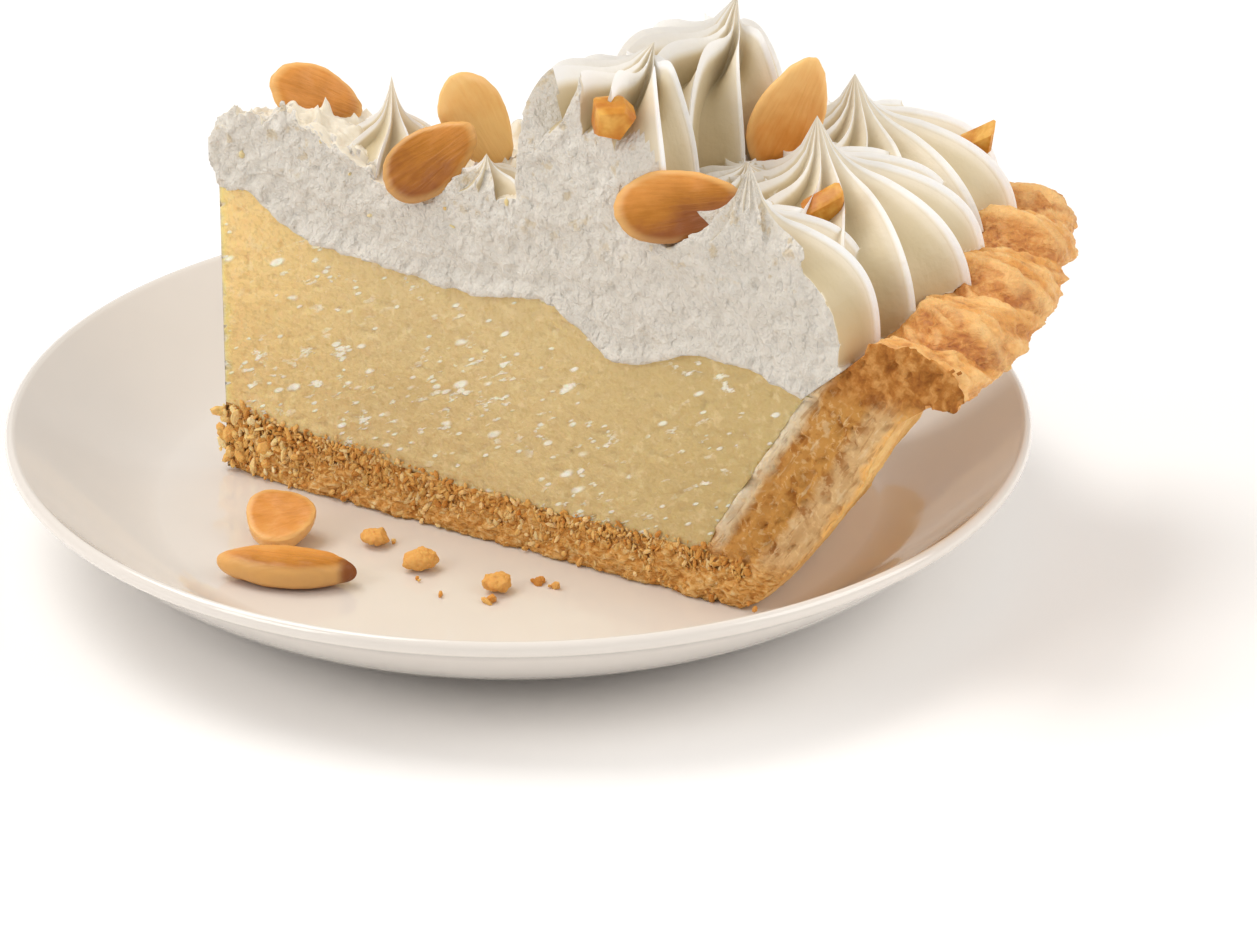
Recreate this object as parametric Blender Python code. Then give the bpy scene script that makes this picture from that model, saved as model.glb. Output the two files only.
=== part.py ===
"""A slice of cream pie on a small plate.

A tenth of a deep 25 cm pie: a crumbly crust with a rope crimp, a custard layer and a
whipped cream layer with piped star swirls, topped with toasted almond slices. It lies on
a shallow coupe plate with two more almonds and a few large crumbs.

Units are metres. The plate's foot stands on z = 0. The slice's cut edges meet in its tip,
and places on the slice are given as a radius from the tip and an angle from +X.
"""

import math

import bmesh
import bpy
from mathutils import Matrix, Vector, noise

MM = 0.001
GAP = 0.3 * MM                      # between pieces that touch
GROWTH = 0.6 * MM                   # of a piece that cuts its place in the cream

# plate
PLATE_CENTRE = Vector((-3.4, 0.0, 0.0)) * MM
PLATE_RADIUS = 80.9 * MM
WELL_RADIUS = 57.0 * MM             # flat part of the plate
WELL_LEVEL = 7.0 * MM               # top of the plate's flat part
LIP_RISE = 13.8 * MM                # lip above the flat part
PLATE_THICKNESS = 4.4 * MM
LIP_THICKNESS = 2.6 * MM
LIP_ROUNDING = 1.2 * MM
LIP_CURVE = 1.6                     # how late the top turns up towards the lip
UNDERSIDE_CURVE = 2.2               # and how late its underside does
FOOT_RADIUS = 45.0 * MM
FOOT_WIDTH = 4.0 * MM
FOOT_CHAMFER = 0.6 * MM
FOOT_DRAFT = 1.2 * MM               # its inner side leans by this much
FOOT_FLARE = 3.0 * MM               # and its outer side by this much
PLATE_SIDES = 48
TOP_STEPS = 6                       # from the flat part to the lip, and back below
UNDERSIDE_STEPS = 4

# slice
TIP = PLATE_CENTRE + Vector((-46.5, 10.6, 0.0)) * MM
FRONT_ANGLE = math.radians(-32.9)   # the cut face that the photo shows
BACK_ANGLE = FRONT_ANGLE + math.radians(36.0)
OVERSHOOT = math.radians(9.0)       # swept past both cuts before cutting
FLOOR = WELL_LEVEL + GAP            # underside of the slice
REACH = 150.0 * MM                  # past the crimp
HEADROOM = 95.0 * MM                # past the highest peak

# crust: base, flared wall and rope crimp; heights are above the slice's underside
BASE_TOP = ((0.0, 11.6), (7.0, 10.0), (24.0, 9.2), (42.0, 7.4), (89.2, 7.6))
WALL_SLOPE = math.tan(math.radians(31.5))
WALL_INNER_FOOT = 91.0 * MM         # inner wall's radius where it is 12 mm high
WALL_INNER_FOOT_HEIGHT = 12.0 * MM
WALL_OUTER_FOOT = 97.8 * MM         # outer wall's radius at the underside
WALL_OUTER_GROWTH = (0.92, -6.8)    # with the height, and with its square in metres
WALL_TOP = 38.0 * MM
CRIMP_RADIUS = 124.3 * MM           # middle of the crimp's section
CRIMP_HEIGHT = 43.6 * MM
CRIMP_SINK = 4.6 * MM               # the crimp is lower towards the back cut
CRIMP_HALF_WIDTH = 9.6 * MM
CRIMP_RISE = 4.2 * MM               # of its top over its middle in a crease
FOLD_RISE = 3.6 * MM                # and more on a crest
FOLD_REACH = 0.9 * MM               # a crest stands out sideways by this much
CRIMP_DROP = 3.2 * MM
SINK_START = math.radians(-9.0)
FOLD_PITCH = math.radians(8.7)      # one fold of the rope
FOLD_START = math.radians(-21.3)    # a crease at the top of the crimp
FOLD_TURN = math.radians(2.6)       # a crease's turn from the top to the outer edge
WALL_RECEDE = 2.2 * MM              # the outer wall is narrower behind the front cut
RECEDE_ANGLE = math.radians(9.0)    # this far behind it, in full
RECEDE_HEIGHT = 18.0 * MM           # and from this height up
CREST_PLACE = (0.08, 0.235, 0.7)    # in a fold: at the outer edge, more for a radian, at most
CRIMP_TURNS = (-70, -45, -20, 5, 30, 55, 80, 105, 130, 152)     # degrees round its section
CRIMP_INNER_EDGE = (111.7, 42.2)    # where the crimp meets the top of the inner wall
OUTER_LEVELS = (1.5, 8.0, 15.0, 22.0, 29.0, 36.0)               # up the outer wall
OUTER_WAVE = 0.5 * MM               # unevenness of the outer wall
CRIMP_WAVE = 0.4 * MM
CRUST_STEPS = 28                    # along the slice, and more past each cut
CRUST_SPARE = 4
FOOT_SETBACK = 1.5 * MM             # chamfer under the outer wall
CRUMB_SCALE = 5.0 * MM              # size and depth of the lumps on its cut faces
CRUMB_RELIEF = 1.7 * MM
CRUMB_GRID = 3.6 * MM
FOOT_SPREAD = 1.3 * MM              # the crumbs lean out at the bottom
FOOT_SPREAD_HEIGHT = 8.0 * MM

# custard: height of its top along the slice
CUSTARD_TOP = (
    (0.0, 49.0), (6.0, 49.8), (13.5, 45.3), (30.0, 43.3), (50.0, 42.2), (60.5, 44.0),
    (74.0, 36.9), (89.0, 41.3), (99.0, 40.8), (107.0, 38.2), (118.0, 36.0),
)
CUSTARD_RADII = (0.0, 6.0, 13.0, 22.0, 32.0, 42.0, 52.0, 60.0, 67.0, 74.0, 82.0, 90.0, 98.0)
CUSTARD_STEPS = 12
CUSTARD_SPARE = 12                  # steps past each cut, of the piece that cuts the cream
CUSTARD_UNEVENNESS = 1.2 * MM
WALL_CLEARANCE = 0.5 * MM           # sideways, for a gap of GAP square to the wall

# cream
CREAM_OVERHANG = 1.6 * MM           # cream stands past the custard's tip
CREAM_TOP = (
    (-4.0, 58.0), (3.0, 61.5), (8.0, 61.5), (14.0, 63.5), (19.0, 62.0), (30.0, 56.5),
    (37.0, 54.0), (44.0, 56.0), (50.0, 58.0), (58.0, 59.0), (85.0, 57.0), (95.0, 53.0), (105.0, 48.0),
    (112.0, 44.6), (121.0, 40.5),
)
CREAM_STEPS = 14
CREAM_RINGS = 26
CREAM_LUMPS = 2.2 * MM              # roughness near the tip
CREAM_RADIUS = 121.0 * MM           # of the layer between the swirls
CREAM_OVERLAP = 2.0 * MM            # the layer starts this far inside the custard
TORN_LENGTH = 40.0 * MM             # the layer is torn this far from the tip
TIP_LUMP = ((2.9, 54.4), (4.8, 6.2))    # cream past the tip: radius and height, half sizes
TIP_LUMP_ROUGHNESS = 0.22

# swirls: radius from the tip, angle, heights of foot, dome and peak, radius, ridges,
# direction of the first ridge, shoulder (2 is round, 5 is square), lean of the peak
SWIRLS = {
    "border_front": (95.8, -32.4, (44.0, 61.5, 73.2), 19.2, 12, -14.0, 3.0, (0.6, 0.3)),
    "border_middle": (97.5, -17.6, (43.0, 60.5, 71.6), 24.0, 11, -35.0, 2.9, (-0.4, 0.6)),
    "border_back": (99.0, -3.0, (42.0, 58.5, 68.6), 24.4, 11, -10.0, 2.8, (0.5, 0.0)),
    "border_next": (99.0, 11.8, (42.0, 58.0, 68.0), 22.0, 11, 5.0, 2.8, (0.0, 0.0)),
    "middle": (67.6, -27.0, (53.0, 77.5, 82.2), 13.8, 9, -173.0, 3.3, (7.6, 6.1)),
    "rear": (75.2, -7.6, (50.0, 75.5, 83.6), 14.2, 10, -60.0, 3.4, (6.4, 0.5)),
    "small_tip": (28.0, -14.0, (52.0, 61.2, 69.8), 9.5, 8, -60.0, 2.2, (0.3, 0.0)),
    "small_cut": (48.0, -29.5, (50.0, 59.8, 63.6), 10.0, 8, -80.0, 2.4, (0.3, 0.2)),
    "filler": (86.0, -18.0, (48.0, 61.0, 63.0), 13.0, 12, 0.0, 2.4, (0.0, 0.0)),
    "small_rear": (54.0, -4.0, (50.0, 57.0, 61.0), 9.5, 8, -70.0, 2.4, (0.0, 0.0)),
}
RIDGE_REACH = 0.07                  # ridges stand out by this share of the radius
RIDGE_RISE = 0.13                   # and rise from the valleys by this share of the height
PEAK_WIDTH = 0.15                   # its width, as a share of the radius
SWIRL_TWIST = math.radians(18.0)
SWIRL_RINGS = 9
POINTS_PER_RIDGE = 3

# almond slices: centre (radius, angle, height above the underside), length, width,
# thickness, direction of the length, direction of the broad face
ALMONDS = {
    "almond_tip": ((15.7, -5.0, 64.3), (15.4, 9.2, 2.6), (0.90, 0.10, -0.40), (-0.25, -0.70, 0.66)),
    "almond_rear": ((42.5, -16.5, 64.0), (18.6, 10.4, 2.8), (0.45, 0.15, -0.88), (0.35, -0.88, 0.20)),
    "almond_front": ((39.1, -31.0, 61.3), (16.4, 10.2, 2.6), (0.80, 0.20, 0.52), (-0.30, -0.88, 0.42)),
    "almond_face": ((84.0, -32.3, 63.8), (20.0, 11.0, 2.6), (0.97, -0.12, 0.14), (0.05, -0.90, 0.55)),
    "almond_tall": ((91.0, -13.0, 68.4), (19.6, 11.4, 2.6), (0.40, 0.10, 0.88), (0.30, -0.93, 0.12)),
}
ALMOND_SIDES = 14
ALMOND_POINT = 0.22                 # how much narrower one end is
# rings over a nut: share of its outline, share of its crown above and belly below
ALMOND_RINGS = ((0.0, 1.0), (0.62, 0.86), (0.90, 0.50), (1.0, 0.0), (0.90, -0.50), (0.62, -0.86), (0.0, -1.0))

# broken chips: centre, edge lengths, turn about the length and upright axes, and the
# corners of the broad face as shares of its length and height
CHIPS = {
    "chip_block": ((73.1, -33.0, 76.2), (6.4, 4.6, 6.0), (15.0, 6.0, 10.0),
                   ((-0.45, -0.35), (0.2, -0.5), (0.5, 0.2), (0.2, 0.5), (-0.5, 0.42))),
    "chip_middle": ((101.2, -23.0, 61.6), (6.8, 3.4, 6.0), (20.0, 0.0, 15.0),
                    ((-0.5, -0.1), (0.0, -0.5), (0.5, -0.3), (0.36, 0.5))),
    "chip_back": ((118.6, -1.5, 56.4), (6.2, 3.4, 7.0), (25.0, 0.0, -10.0),
                  ((-0.5, -0.15), (0.1, -0.5), (0.38, -0.2), (0.5, 0.5))),
}

CHIP_LEVELS = ((-0.5, 0.84), (-0.3, 1.0), (0.3, 1.0), (0.5, 0.84))      # its edges are chamfered
CHIP_POCKET_SPREAD = 1.3

# on the plate: place from the plate's centre, then length, width, crown and belly of a nut,
# its turn in plan and its tilt towards -Y; a crumb has its place and size
PLATE_NUTS = {
    "almond_disc": ((-37.2, -17.0), (11.0, 10.9, 0.6, 4.2), 14.0, 22.0),
    "almond_lens": ((-36.2, -31.0), (22.5, 8.6, 2.7, 2.7), -12.0, 0.0),
}
PLATE_CRUMBS = {
    "crumb_left": ((-22.6, -18.6), 3.8),
    "crumb_middle": ((-15.4, -27.2), 5.0),
    "crumb_right": ((-3.6, -35.2), 4.2),
}
CRUMB_SHAPE = (1.15, 0.95, 0.75)
CRUMB_ROUGHNESS = 0.35
CRUMB_FOOT = -0.55                  # flat underside, in half sizes

COLOURS = {
    "plate": ((0.83, 0.80, 0.76), 0.08),
    "crust": ((0.62, 0.35, 0.13), 0.75),
    "custard": ((0.80, 0.66, 0.34), 0.35),
    "cream": ((0.86, 0.82, 0.73), 0.45),
    "almond": ((0.72, 0.40, 0.13), 0.50),
    "crumb": ((0.66, 0.40, 0.17), 0.80),
}


# ---------------------------------------------------------------- helpers

def along(points, radius):
    """Smooth curve (in metres) through a few (radius, height) points in millimetres."""
    x = radius / MM
    if x <= points[0][0]:
        return points[0][1] * MM
    if x >= points[-1][0]:
        return points[-1][1] * MM
    k = max(i for i, p in enumerate(points) if p[0] <= x)
    (x0, y0), (x1, y1) = points[k], points[k + 1]
    before = points[max(k - 1, 0)]
    after = points[min(k + 2, len(points) - 1)]
    slope0 = (y1 - before[1]) / (x1 - before[0])
    slope1 = (after[1] - y0) / (after[0] - x0)
    t, w = (x - x0) / (x1 - x0), x1 - x0
    y = ((2 * t ** 3 - 3 * t ** 2 + 1) * y0 + (t ** 3 - 2 * t ** 2 + t) * w * slope0
         + (3 * t ** 2 - 2 * t ** 3) * y1 + (t ** 3 - t ** 2) * w * slope1)
    return y * MM


def on_slice(radius, angle, height):
    """Point at a radius from the tip, an angle from +X and a height above the underside."""
    return TIP + Vector((radius * math.cos(angle), radius * math.sin(angle), FLOOR + height))


def material(name):
    """Material with the colour and roughness that COLOURS gives."""
    colour, roughness = COLOURS[name]
    mat = bpy.data.materials.new(name)
    mat.use_nodes = True
    shader = mat.node_tree.nodes["Principled BSDF"]
    shader.inputs["Base Color"].default_value = (*colour, 1.0)
    shader.inputs["Roughness"].default_value = roughness
    return mat


def piece(name, bm, look=None, smooth_angle=None):
    """Turn a bmesh into an object; without a look it is a cutter."""
    bmesh.ops.remove_doubles(bm, verts=bm.verts, dist=1e-6)
    bmesh.ops.recalc_face_normals(bm, faces=bm.faces)
    mesh = bpy.data.meshes.new(name)
    bm.to_mesh(mesh)
    bm.free()
    obj = bpy.data.objects.new(name, mesh)
    bpy.context.collection.objects.link(obj)
    if look is None:
        obj.hide_render = True
        obj.display_type = "WIRE"
    else:
        mesh.materials.append(material(look))
    if smooth_angle is not None:
        mesh.shade_smooth()
        mesh.set_sharp_from_angle(angle=math.radians(smooth_angle))
    return obj


def apply_boolean(obj, operation, other, solver="EXACT"):
    """Cut, meet or join obj with an object or a collection, and leave the result in obj."""
    boolean = obj.modifiers.new(operation, "BOOLEAN")
    boolean.operation = operation
    boolean.solver = solver
    if isinstance(other, bpy.types.Collection):
        boolean.operand_type = "COLLECTION"
        boolean.collection = other
    else:
        boolean.object = other
    bpy.context.view_layer.update()
    result = bpy.data.meshes.new_from_object(obj.evaluated_get(bpy.context.evaluated_depsgraph_get()))
    obj.modifiers.clear()
    obj.data = result


def remove(*objects):
    for obj in objects:
        bpy.data.objects.remove(obj)


def bridge_rings(bm, rings, closed_rings=True):
    """Quads between successive rings of equal length."""
    for lower, upper in zip(rings, rings[1:]):
        count = len(lower)
        for i in range(count if closed_rings else count - 1):
            j = (i + 1) % count
            corners = [lower[i], lower[j], upper[j], upper[i]]
            distinct = list(dict.fromkeys(corners))
            if len(distinct) > 2:
                bm.faces.new(distinct)


def keep_largest(obj):
    """Drop loose scraps that a cut left beside the main body."""
    bm = bmesh.new()
    bm.from_mesh(obj.data)
    unseen = set(bm.verts)
    groups = []
    while unseen:
        stack = [unseen.pop()]
        group = set(stack)
        while stack:
            for edge in stack.pop().link_edges:
                for vert in edge.verts:
                    if vert in unseen:
                        unseen.remove(vert)
                        group.add(vert)
                        stack.append(vert)
        groups.append(group)
    groups.sort(key=len, reverse=True)
    for group in groups[1:]:
        bmesh.ops.delete(bm, geom=list(group), context="VERTS")
    bm.to_mesh(obj.data)
    bm.free()


# ---------------------------------------------------------------- plate

def plate_profile():
    """Section of the plate from its middle, over the lip and back along the underside."""
    lip_radius = PLATE_RADIUS - LIP_ROUNDING
    top = [(0.0, WELL_LEVEL), (WELL_RADIUS / 2, WELL_LEVEL)]
    for i in range(TOP_STEPS + 1):
        t = i / TOP_STEPS
        top.append((WELL_RADIUS + (lip_radius - WELL_RADIUS) * t, WELL_LEVEL + LIP_RISE * t ** LIP_CURVE))
    lip = []
    for degrees in (45, 90, 135, 175):
        a = math.radians(degrees)
        lip.append((lip_radius + LIP_ROUNDING * math.sin(a),
                    WELL_LEVEL + LIP_RISE - LIP_THICKNESS / 2 * (1 - math.cos(a))))
    under = []
    flare = FOOT_RADIUS + FOOT_FLARE
    low = WELL_LEVEL - PLATE_THICKNESS
    high = WELL_LEVEL + LIP_RISE - LIP_THICKNESS
    for i in range(1, UNDERSIDE_STEPS + 1):
        t = 1 - i / UNDERSIDE_STEPS
        radius = flare + (lip_radius - LIP_ROUNDING - flare) * t
        under.append((radius, low + (high - low) * t ** UNDERSIDE_CURVE))
    foot = [(FOOT_RADIUS + FOOT_CHAMFER, FOOT_CHAMFER), (FOOT_RADIUS, 0.0), (FOOT_RADIUS - FOOT_WIDTH, 0.0),
            (FOOT_RADIUS - FOOT_WIDTH - FOOT_DRAFT, low)]
    return top + lip + under + foot + [(0.0, low)]


def make_plate():
    bm = bmesh.new()
    rings = []
    for radius, z in plate_profile():
        if radius == 0.0:
            rings.append([bm.verts.new(PLATE_CENTRE + Vector((0, 0, z)))] * PLATE_SIDES)
            continue
        ring = []
        for i in range(PLATE_SIDES):
            a = 2 * math.pi * i / PLATE_SIDES
            ring.append(bm.verts.new(PLATE_CENTRE + Vector((radius * math.cos(a), radius * math.sin(a), z))))
        rings.append(ring)
    bridge_rings(bm, rings)
    return piece("plate", bm, "plate", 40)


# ---------------------------------------------------------------- crust

def fold(angle, turn):
    """1 on the crest of a fold of the rope crimp, 0 in the crease between two."""
    place = (angle - FOLD_START - FOLD_TURN * (1 - math.sin(turn))) / FOLD_PITCH
    part = place - math.floor(place)
    first, growth, last = CREST_PLACE
    crest = min(last, max(first, first + growth * turn))
    return min((part / crest) ** 0.85, ((1 - part) / (1 - crest)) ** 0.8)


def wall_radius(height):
    """Radius of the inner wall at a height."""
    return WALL_INNER_FOOT + WALL_SLOPE * (height - WALL_INNER_FOOT_HEIGHT)


def outer_radius(height):
    """Radius of the outer wall at a height; it bulges a little."""
    slope, curve = WALL_OUTER_GROWTH
    return WALL_OUTER_FOOT + slope * height + curve * height ** 2


def crust_section(angle):
    """Closed (radius, height) outline of the crust at an angle, from the tip outwards."""
    loop = [(0.0, 0.0), (WALL_OUTER_FOOT / 2, 0.0), (WALL_OUTER_FOOT - FOOT_SETBACK, 0.0)]
    t = min(1.0, max(0.0, (angle - FRONT_ANGLE) / RECEDE_ANGLE))
    recede = WALL_RECEDE * t * t * (3 - 2 * t)
    for level in OUTER_LEVELS:
        height = level * MM
        wave = OUTER_WAVE * noise.noise(Vector((angle * 22, level * 0.12, 3.1)))
        loop.append((outer_radius(height) + wave - recede * min(1.0, height / RECEDE_HEIGHT), height))
    sink = CRIMP_SINK * min(1.0, max(0.0, (angle - SINK_START) / (BACK_ANGLE - SINK_START)))
    for degrees in CRIMP_TURNS:
        turn = math.radians(degrees)
        fade = min(1.0, (degrees + 75) / 45) * min(1.0, (160 - degrees) / 40)
        ridge = fold(angle, turn)
        wave = CRIMP_WAVE * noise.noise(Vector((angle * 60, turn * 2.0, 7.7)))
        wide = CRIMP_HALF_WIDTH + FOLD_REACH * (ridge - 0.45) * fade + wave
        tall = wave + (CRIMP_RISE + FOLD_RISE * ridge * fade if turn > 0 else CRIMP_DROP)
        loop.append((CRIMP_RADIUS + wide * math.cos(turn),
                     CRIMP_HEIGHT - sink * fade + tall * math.sin(turn)))
    loop.append((CRIMP_INNER_EDGE[0] * MM, CRIMP_INNER_EDGE[1] * MM))
    for height in (WALL_TOP, (WALL_TOP + WALL_INNER_FOOT_HEIGHT) / 2, WALL_INNER_FOOT_HEIGHT):
        loop.append((wall_radius(height), height))
    loop += [(r * MM, h * MM) for r, h in reversed(BASE_TOP)]
    return loop


def grow(loop, amount):
    """Push a closed outline outwards, except at the tip, where radius is zero."""
    grown = []
    for i, (r, h) in enumerate(loop):
        before, after = loop[i - 1], loop[(i + 1) % len(loop)]
        dr, dh = after[0] - before[0], after[1] - before[1]
        size = math.hypot(dr, dh)
        side = amount if r > 0 else 0.0
        grown.append((max(r + side * dh / size, 0.0), h - (amount if r == 0.0 and h == 0.0 else 0.0)
                      + (amount if r == 0.0 and h > 0.0 else 0.0) - side * dr / size))
    return grown


def sweep_slice(bm, section, steps, start, end):
    """Sweep a closed section about the tip, with a flat cap at each end."""
    rings = []
    tip_points = {}
    for k in range(steps + 1):
        angle = start + (end - start) * k / steps
        ring = []
        for i, (r, h) in enumerate(section(angle)):
            if r == 0.0:
                if i not in tip_points:
                    tip_points[i] = bm.verts.new(on_slice(0.0, 0.0, h))
                ring.append(tip_points[i])
            else:
                ring.append(bm.verts.new(on_slice(r, angle, h)))
        rings.append(ring)
    bridge_rings(bm, rings)
    for ring in (rings[0], rings[-1]):
        bm.faces.new(list(dict.fromkeys(ring)))


def wedge(name, overhang=0.0, relief=None, spacing=None):
    """Cutter between the two cut faces; relief(s, height) pushes a face outwards."""
    apex = TIP - overhang * Vector((math.cos((FRONT_ANGLE + BACK_ANGLE) / 2),
                                    math.sin((FRONT_ANGLE + BACK_ANGLE) / 2), 0.0))
    bm = bmesh.new()
    across = max(1, round(REACH / spacing)) if spacing else 1
    upward = max(1, round(HEADROOM / spacing)) if spacing else 1
    faces = []
    tip_column = None
    for angle, outward in ((FRONT_ANGLE, -1.0), (BACK_ANGLE, 1.0)):
        direction = Vector((math.cos(angle), math.sin(angle), 0.0))
        normal = outward * Vector((-math.sin(angle), math.cos(angle), 0.0))
        columns = []
        for i in range(across + 1):
            if i == 0 and tip_column:
                columns.append(tip_column)
                continue
            column = []
            for j in range(upward + 1):
                s = REACH * i / across
                height = -4 * MM + HEADROOM * j / upward
                inner = 0 < i < across and 0 < j < upward
                push = relief(s, height, outward) if relief and inner else 0.0
                foot = apex + direction * s + normal * push
                column.append(bm.verts.new(foot + Vector((0, 0, FLOOR + height))))
            columns.append(column)
        tip_column = columns[0]
        bridge_rings(bm, columns, closed_rings=False)
        faces.append(columns)
    front, back = faces
    bridge_rings(bm, [front[-1], back[-1]], closed_rings=False)
    for level in (0, -1):
        rim = [column[level] for column in front] + [column[level] for column in reversed(back[1:])]
        bm.faces.new(rim)
    cutter = piece(name, bm)
    return cutter


def crumbly(s, height, side):
    """Relief of the broken crust: lumps, and a foot that spreads a little."""
    where = Vector((s, height, 0.0)) / CRUMB_SCALE + Vector((0.0, 0.0, 5.0 * side))
    spread = FOOT_SPREAD * max(0.0, 1 - height / FOOT_SPREAD_HEIGHT) * min(1.0, s / FOOT_SPREAD_HEIGHT)
    return spread + CRUMB_RELIEF * noise.noise(where)


def make_crust():
    bm = bmesh.new()
    step = (BACK_ANGLE - FRONT_ANGLE) / CRUST_STEPS
    sweep_slice(bm, crust_section, CRUST_STEPS + 2 * CRUST_SPARE, FRONT_ANGLE - CRUST_SPARE * step,
                BACK_ANGLE + CRUST_SPARE * step)
    crust = piece("crust", bm, "crust", 50)
    cutter = wedge("crust_cut", relief=crumbly, spacing=CRUMB_GRID)
    apply_boolean(crust, "INTERSECT", cutter)
    remove(cutter)
    keep_largest(crust)
    return crust


# ---------------------------------------------------------------- custard

def custard_top(radius, angle):
    """Height of the custard's top; it is as measured on the front face and uneven behind."""
    behind = min(1.0, (angle - FRONT_ANGLE) / math.radians(8.0)) if angle > FRONT_ANGLE else 0.0
    wave = noise.noise(Vector((radius * 90, angle * 7, 1.7)))
    return along(CUSTARD_TOP, radius) + CUSTARD_UNEVENNESS * wave * behind


def custard_section(angle):
    """Closed (radius, height) outline of the custard; its top ends at the crust's wall."""
    low = [(r * MM, h * MM + GAP) for r, h in BASE_TOP]
    levels = (WALL_INNER_FOOT_HEIGHT, 2 * WALL_INNER_FOOT_HEIGHT)
    wall = [(wall_radius(h) - WALL_CLEARANCE, h) for h in levels]
    edge = wall_radius(WALL_TOP)
    for _ in range(5):
        edge = wall_radius(custard_top(edge, angle)) - WALL_CLEARANCE
    top = [(r * MM, custard_top(r * MM, angle)) for r in CUSTARD_RADII]
    top.append((edge, custard_top(edge, angle)))
    return low + wall + top[::-1]


def make_custard():
    bm = bmesh.new()
    sweep_slice(bm, custard_section, CUSTARD_STEPS, FRONT_ANGLE, BACK_ANGLE)
    return piece("custard", bm, "custard", 50)


# ---------------------------------------------------------------- cream

def cream_top(radius, angle):
    """Height of the cream layer between the swirls, torn and lumpy near the tip."""
    lumps = noise.noise(Vector((radius * 260, angle * radius * 260, 0.4)))
    torn = max(0.0, 1 - radius / TORN_LENGTH)
    return along(CREAM_TOP, radius) + CREAM_LUMPS * lumps * (0.25 + torn)


def cream_layer():
    """Slab from just inside the custard up to the swirls' feet, wider than the slice."""
    start = FRONT_ANGLE - OVERSHOOT
    end = BACK_ANGLE + OVERSHOOT

    def section(angle):
        radii = [CREAM_RADIUS * i / CREAM_RINGS for i in range(CREAM_RINGS + 1)]
        low = [(r, custard_top(r, angle) - CREAM_OVERLAP) for r in radii[::2]]
        high = [(r, cream_top(r, angle)) for r in radii]
        return low + high[::-1]

    bm = bmesh.new()
    sweep_slice(bm, section, CREAM_STEPS, start, end)
    return piece("cream", bm, "cream", 40)


def tip_lump():
    """Cream that stands past the custard's tip."""
    bm = bmesh.new()
    bmesh.ops.create_icosphere(bm, subdivisions=2, radius=1.0)
    (radius, height), (across, upward) = TIP_LUMP
    centre = on_slice(radius * MM, 0.0, height * MM)
    for vert in bm.verts:
        rough = 1 + TIP_LUMP_ROUGHNESS * noise.noise(vert.co * 2.3)
        vert.co = centre + Vector((vert.co.x * across, vert.co.y * across, vert.co.z * upward)) * MM * rough
    return piece("tip_lump", bm)


def swirl(name, radius, angle, heights, size, ridges, first, shoulder, lean):
    """A star swirl: sharp ridges over a round shoulder, drawn up into a thin peak."""
    foot, dome_top, peak = heights
    centre = on_slice(radius * MM, math.radians(angle), foot * MM)
    dome = (dome_top - foot) * MM
    pull = (peak - dome_top) * MM
    count = ridges * POINTS_PER_RIDGE
    bm = bmesh.new()
    rings = []
    for level in range(SWIRL_RINGS):
        bend = math.pi / 2 * (1 - level / (SWIRL_RINGS - 0.4))
        out = math.sin(bend) ** (2 / shoulder)
        up = max(math.cos(bend), 0.0) ** (2 / shoulder)
        ring = []
        for i in range(count):
            theta = 2 * math.pi * i / count
            ridge = (1 - abs(math.sin(ridges * theta / 2))) ** 1.2
            fade = min(1.0, out / 0.4)
            q = size * MM * out * (1 - RIDGE_REACH + 2 * RIDGE_REACH * ridge)
            z = dome * up * (1 + RIDGE_RISE * (1.6 * ridge - 1.0) * fade)
            z += pull * math.exp(-out / PEAK_WIDTH)
            turn = theta + math.radians(first) + SWIRL_TWIST * (1 - out) ** 2
            shift = (1 - out) ** 2
            ring.append(bm.verts.new(centre + Vector((
                q * math.cos(turn) + lean[0] * MM * shift, q * math.sin(turn) + lean[1] * MM * shift, z))))
        rings.append(ring)
    top = bm.verts.new(centre + Vector((lean[0] * MM, lean[1] * MM, dome + pull)))
    bridge_rings(bm, rings)
    bridge_rings(bm, [rings[-1], [top] * count])
    bm.faces.new(rings[0])
    return piece(name, bm)


def keepout(section, steps, spare):
    """A swept piece, grown by the gap and some steps wider at each side, to cut the cream."""
    step = (BACK_ANGLE - FRONT_ANGLE) / steps
    bm = bmesh.new()
    sweep_slice(bm, lambda angle: grow(section(angle), GROWTH), steps + 2 * spare,
                FRONT_ANGLE - spare * step, BACK_ANGLE + spare * step)
    return piece("keepout", bm)


def make_cream(pockets):
    """The cream layer and its swirls, cut to the wedge and fitted round everything else."""
    cream = cream_layer()
    swirls = bpy.data.collections.new("swirls")
    bpy.context.scene.collection.children.link(swirls)
    parts = [swirl(name, *sizes) for name, sizes in SWIRLS.items()] + [tip_lump()]
    for part in parts:
        bpy.context.collection.objects.unlink(part)
        swirls.objects.link(part)
    apply_boolean(cream, "UNION", swirls)
    remove(*parts)
    bpy.data.collections.remove(swirls)
    cutter = wedge("cream_cut", overhang=CREAM_OVERHANG)
    apply_boolean(cream, "INTERSECT", cutter, "MANIFOLD")
    remove(cutter)
    pockets.append(keepout(crust_section, CRUST_STEPS, CRUST_SPARE))
    pockets.append(keepout(custard_section, CUSTARD_STEPS, CUSTARD_SPARE))
    for other in pockets:
        apply_boolean(cream, "DIFFERENCE", other, "MANIFOLD")
        remove(other)
    keep_largest(cream)
    return cream


# ---------------------------------------------------------------- almonds and crumbs

def facing(length_axis, face_axis):
    """Rotation with X along the piece and Z out of its broad face."""
    x = Vector(length_axis).normalized()
    z = Vector(face_axis)
    z = (z - x * z.dot(x)).normalized()
    return Matrix((x, z.cross(x), z)).transposed().to_4x4()


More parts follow.
